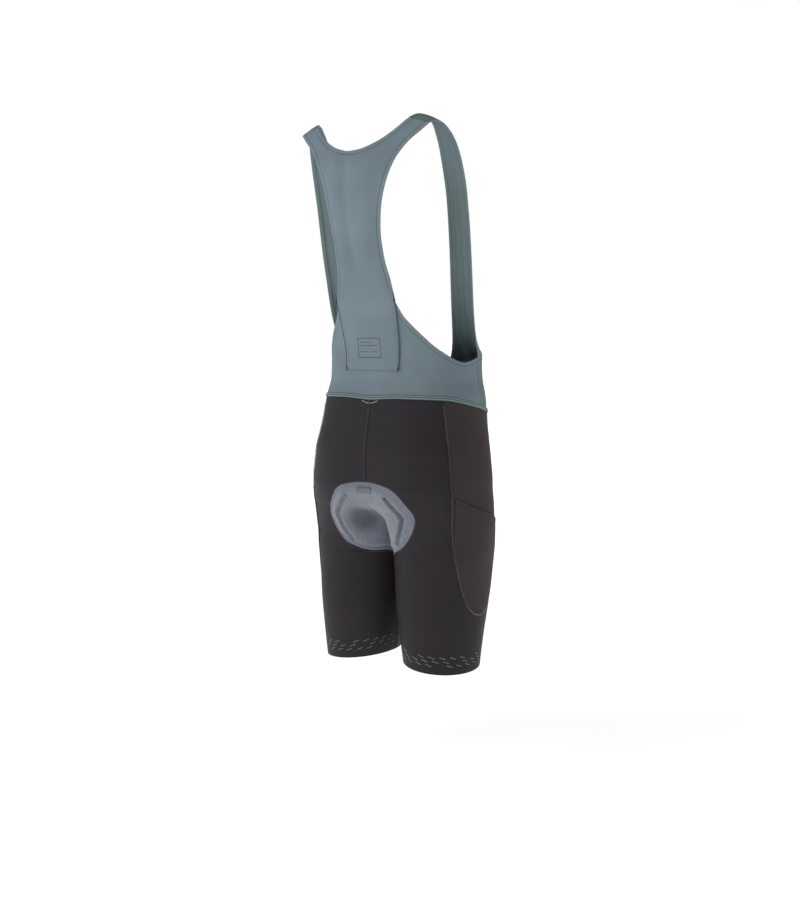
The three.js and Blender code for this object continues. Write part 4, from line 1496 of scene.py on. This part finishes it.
def flat_seam_lines():
    """Threads over the rise seams, the inseams and the lower edges of the side panels."""
    back, front = SHAPES["leg"][:, -1], SHAPES["leg"][:, 0]
    rises = [
        edge[edge[:, 2] > PAD_EDGE[side][0][-1] + 2] * [0, 1, 1] for edge, side in ((back, 1), (front, -1))
    ]
    inseam = back[back[:, 2] < PAD_EDGE[1][0][0] - 2] - [0.25, 0, 0]
    paired = both_sides([seam_thread(line, FLAT_SEAM) for line in (inseam, SHAPES["side"][0, 3:-3])])
    return [seam_thread(line, FLAT_SEAM) for line in rises] + paired


def bib_hem_lines(needle):
    """Stitches along the straps, the armholes and the neck."""
    yoke, front = SHAPES["yoke"], SHAPES["front"][STRAP_HEM_ROW + 2:]
    lines = both_sides([inset_line(front, name, needle, HEM_STITCH_LIFT) for name in ("start", "end")])
    lines += [inset_line(yoke, name, needle, HEM_STITCH_LIFT)[7:-4] for name in ("start", "end")]
    lines.append(inset_line(yoke, "top", needle, HEM_STITCH_LIFT)[16:-16])
    lines.append(lifted(inset_line(SHAPES["band"], "top", needle)[2:-2], HEM_STITCH_LIFT))
    return lines


def crescent_line():
    """A small bowed tack under the middle of the waist strip."""
    half = CRESCENT["half_angle"]
    degrees = np.linspace(-half, half, 40)
    drop = CRESCENT["drop"] * np.cos(np.radians(degrees * 90 / half))
    return seam_thread(torso_point(degrees, WAIST["height"][0] - 1 - drop), CRESCENT)


class BIB_OT_sewing(bpy.types.Operator):
    """Sews the seams, hems, bartacks and pad rim with Geometry Nodes"""

    bl_idname = "bib.sewing"
    bl_label = "Sewing"

    def execute(self, context):
        rows, threads = stitch_tree(), thread_tree()
        stitch("flat_seam_thread", flat_seam_lines(), threads, "leg_thread", "leg_cloth",
               Thread_Radius=0.00042)
        stitch("hem_stitches", bib_hem_lines(context.scene.bib_sizes.hem / MM * NEEDLE), rows,
               "bib_thread", "bib_cloth", Spacing=0.0026, Stitch_Length=0.0022, Thread_Radius=0.0003)
        pocket = [inset_line(SHAPES["yoke"][:FLAP_ROWS], name, 1.4, 0.3) for name in ("start", "end")]
        pocket += [bartack(line[at], line[at + 1]) for line in pocket for at in (2, -3)]
        stitch("pocket_stitches", pocket, threads, "bib_thread", "bib_cloth", Thread_Radius=0.0005)
        cover = [lifted(SHAPES["strip"][row], 0.5) for row in (2, 6)]
        stitch("strip_stitches", cover, rows, "pale_thread", "seam_strip", Spacing=0.0032,
               Stitch_Length=0.0022, Thread_Radius=0.0007)
        stitch("rise_crescent", [crescent_line()], threads, "pale_thread", "leg_cloth",
               Thread_Radius=0.0004)
        for name, inset, finish in (
            ("rim_leg_stitches", -1.7, "rim_dark_thread"),
            ("rim_outer_stitches", RIM_GROOVES[0], "rim_thread"),
            ("rim_inner_stitches", RIM_GROOVES[1], "rim_dark_thread"),
        ):
            stitch(name, [rim_line(inset)], rows, finish, "pad_foam", Spacing=0.0024,
                   Stitch_Length=0.0023, Thread_Radius=0.00042)
        return {"FINISHED"}


class BIB_OT_prints(bpy.types.Operator):
    """Presses the plain dashes above the hems and the blank care panel on the back"""

    bl_idname = "bib.prints"
    bl_label = "Prints"

    def execute(self, context):
        threads = thread_tree()
        for name, lines, finish, slot, thickness in (
            ("hem_print", both_sides(dash_lines()), "print", "leg_cloth", 0.00062),
            ("care_panel_frame", care_panel_frame(), "label", "bib_cloth", 0.00055),
            ("care_panel_bars", care_panel_bars(), "label", "bib_cloth", 0.0011),
        ):
            stitch(name, lines, threads, finish, slot, Thread_Radius=thickness)
        return {"FINISHED"}


def studio_world(strength):
    """White behind the garment, and a dimmer even light on it."""
    world = bpy.data.worlds.new("studio")
    world.use_nodes = True
    tree = world.node_tree
    white = {"Color": (1, 1, 1, 1)}
    lit = set_inputs(tree.nodes["Background"], {**white, "Strength": strength})
    seen = set_inputs(add(tree, "ShaderNodeBackground"), white)
    blend = add(tree, "ShaderNodeMixShader")
    wire(
        tree, (add(tree, "ShaderNodeLightPath"), "Is Camera Ray", blend, "Fac"),
        (lit, "Background", blend, 1), (seen, "Background", blend, 2),
        (blend, "Shader", tree.nodes["World Output"], "Surface"),
    )
    return world


def paper_material():
    """Pale paper that fades into the white surround away from the garment."""
    paper, tree, surface = new_material("studio_paper")
    set_inputs(surface, {
        "Base Color": (0.92, 0.92, 0.92, 1), "Roughness": 0.9, "Specular IOR Level": 0.0,
        "Emission Strength": 1.0,
    })
    from_middle = add(tree, "ShaderNodeVectorMath", operation="LENGTH")
    tree.links.new(object_place(tree), from_middle.inputs[0])
    glow = span(tree, from_middle.outputs["Value"], 0.8, 4.0, 0.66, 1.0)
    colour_in = add(tree, "ShaderNodeCombineXYZ")
    for socket in colour_in.inputs:
        tree.links.new(glow, socket)
    tree.links.new(colour_in.outputs["Vector"], surface.inputs["Emission Color"])
    return paper


class BIB_OT_stage(bpy.types.Operator):
    """Sets the pale floor, the soft lights and the camera"""

    bl_idname = "bib.stage"
    bl_label = "Studio"

    def execute(self, context):
        stage = context.scene.bib_stage
        floor_mesh = bpy.data.meshes.new("studio_floor")
        size, low = FLOOR_SIZE, -stage.floor_below
        corners = [(-size, -size, low), (size, -size, low), (size, size, low), (-size, size, low)]
        floor_mesh.from_pydata(corners, [], [(0, 1, 2, 3)])
        floor = bpy.data.objects.new("studio_floor", floor_mesh)
        context.scene.collection.objects.link(floor)
        floor_mesh.materials.append(paper_material())
        context.scene.world = studio_world(stage.surround)
        azimuth, elevation = math.radians(stage.azimuth), math.radians(stage.elevation)
        aim = Vector(stage.aim)
        away = Vector((
            math.sin(azimuth) * math.cos(elevation), -math.cos(azimuth) * math.cos(elevation),
            math.sin(elevation)))
        right = Vector((math.cos(azimuth), math.sin(azimuth), 0))
        for name, (towards, across, up), power, share, width in LIGHTS:
            offset = away * towards + right * across + Vector((0, 0, up))
            light = bpy.data.lights.new(name, "AREA")
            light.energy = getattr(stage, power) * share
            light.size = width
            lamp = bpy.data.objects.new(name, light)
            lamp.location = aim + offset
            lamp.rotation_euler = offset.to_track_quat("Z", "Y").to_euler()
            context.scene.collection.objects.link(lamp)
        lens = bpy.data.cameras.new("camera")
        lens.lens = stage.lens
        lens.sensor_width = 36
        lens.clip_end = 50
        camera = bpy.data.objects.new("camera", lens)
        camera.location = aim + away * stage.distance
        camera.rotation_euler = away.to_track_quat("Z", "Y").to_euler()
        context.scene.collection.objects.link(camera)
        context.scene.camera = camera
        context.scene.view_settings.view_transform = "Standard"
        return {"FINISHED"}


# Sizes and colours a user would change


def length(name, description, default):
    return FloatProperty(name=name, description=description, default=default, unit="LENGTH", min=0)


def colour(name, description, default):
    return FloatVectorProperty(
        name=name, description=description, default=default, subtype="COLOR", size=3, min=0, max=1)


class BibSizes(bpy.types.PropertyGroup):
    """Sizes of the cloth"""

    cloth: length("Cloth", "Wall of the knitted cloth", 0.0013)
    overlay: length("Overlay", "Wall of cloth laid on another panel", 0.0012)
    hem: length("Hem", "Width of the folded edges of the bib", 0.0075)


class BibColours(bpy.types.PropertyGroup):
    """Colours of the cloth and threads, linear"""

    bib: colour("Bib", "Blue-grey knit of the yoke and band", (0.169, 0.223, 0.257))
    front: colour("Straps", "Greener knit of the fronts and straps", (0.150, 0.205, 0.212))
    strip: colour("Strip", "Coverstitched waist strip", (0.105, 0.155, 0.165))
    leg: colour("Legs", "Near-black knit of the legs", (0.024, 0.0195, 0.024))
    mesh: colour("Side mesh", "Brownish mesh of the sides", (0.050, 0.039, 0.037))
    pad: colour("Pad", "Knit over the pad's cushions", (0.19, 0.205, 0.25))
    # Painted shade: the darker colour that the pad's channels and recess take.
    pad_hollow_shade: colour("Pad hollows", "Knit in the pad's channels", (0.075, 0.092, 0.105))
    pad_tab: colour("Pad tab", "Woven tab of the pad", (0.16, 0.165, 0.205))
    bib_thread: colour("Bib thread", "Dark stitches on the bib", (0.03, 0.045, 0.052))
    pale_thread: colour("Pale thread", "Pale stitches at the waist", (0.42, 0.48, 0.47))
    leg_thread: colour("Leg thread", "Grey flat seams on the legs", (0.17, 0.172, 0.165))
    rim_thread: colour("Rim thread", "Pale stitches round the pad", (0.26, 0.24, 0.29))
    rim_dark_thread: colour("Dark rim thread", "Dark stitches round the pad", (0.085, 0.072, 0.088))
    hem_print: colour("Hem print", "Pale print above the hems", (0.30, 0.30, 0.30))
    label: colour("Care panel", "Dark print on the back", (0.028, 0.042, 0.052))


class BibStage(bpy.types.PropertyGroup):
    """Camera, floor and lights"""

    azimuth: FloatProperty(name="Azimuth", description="Camera's turn round the garment", default=215)
    elevation: FloatProperty(name="Elevation", description="Camera above the horizon", default=5.5)
    distance: length("Distance", "From the aim to the camera", 2.2)
    lens: FloatProperty(name="Lens", description="Focal length in millimetres", default=50.16)
    aim: FloatVectorProperty(
        name="Aim", description="Point at the middle of the view", default=(0.011, -0.095, -0.545),
        subtype="XYZ", unit="LENGTH")
    floor_below: length("Floor", "Floor below the shoulders", 1.085)
    surround: FloatProperty(name="Surround", description="Strength of the white surround", default=0.26)
    key: FloatProperty(name="Key", description="Power of the left box light", default=19, unit="POWER")
    fill: FloatProperty(name="Fill", description="Power of the other lights", default=6, unit="POWER")


STEPS = (
    BIB_OT_legs, BIB_OT_side_panels, BIB_OT_band, BIB_OT_yoke, BIB_OT_fronts, BIB_OT_pad,
    BIB_OT_sewing, BIB_OT_prints, BIB_OT_stage,
)


class BIB_PT_panel(bpy.types.Panel):
    """Lists the pieces in the order in which they are made"""

    bl_idname = "BIB_PT_panel"
    bl_label = "Bib Shorts"
    bl_space_type = "VIEW_3D"
    bl_region_type = "UI"
    bl_category = "Bib Shorts"

    def draw(self, context):
        for group in (context.scene.bib_sizes, context.scene.bib_colours, context.scene.bib_stage):
            for name in group.bl_rna.properties.keys():
                if name not in ("rna_type", "name"):
                    self.layout.prop(group, name)
        for step in STEPS:
            self.layout.operator(step.bl_idname)


GROUP_CLASSES = {"bib_sizes": BibSizes, "bib_colours": BibColours, "bib_stage": BibStage}


def register():
    for cls in (*GROUP_CLASSES.values(), *STEPS, BIB_PT_panel):
        bpy.utils.register_class(cls)
    for name, cls in GROUP_CLASSES.items():
        setattr(bpy.types.Scene, name, PointerProperty(type=cls))


def unregister():
    for name in GROUP_CLASSES:
        delattr(bpy.types.Scene, name)
    for cls in reversed((*GROUP_CLASSES.values(), *STEPS, BIB_PT_panel)):
        bpy.utils.unregister_class(cls)


def main():
    register()
    bpy.ops.bib.stage()
    for step in STEPS[:-1]:
        name = step.bl_idname.split(".")[1]
        getattr(bpy.ops.bib, name)()


if __name__ == "__main__":
    main()
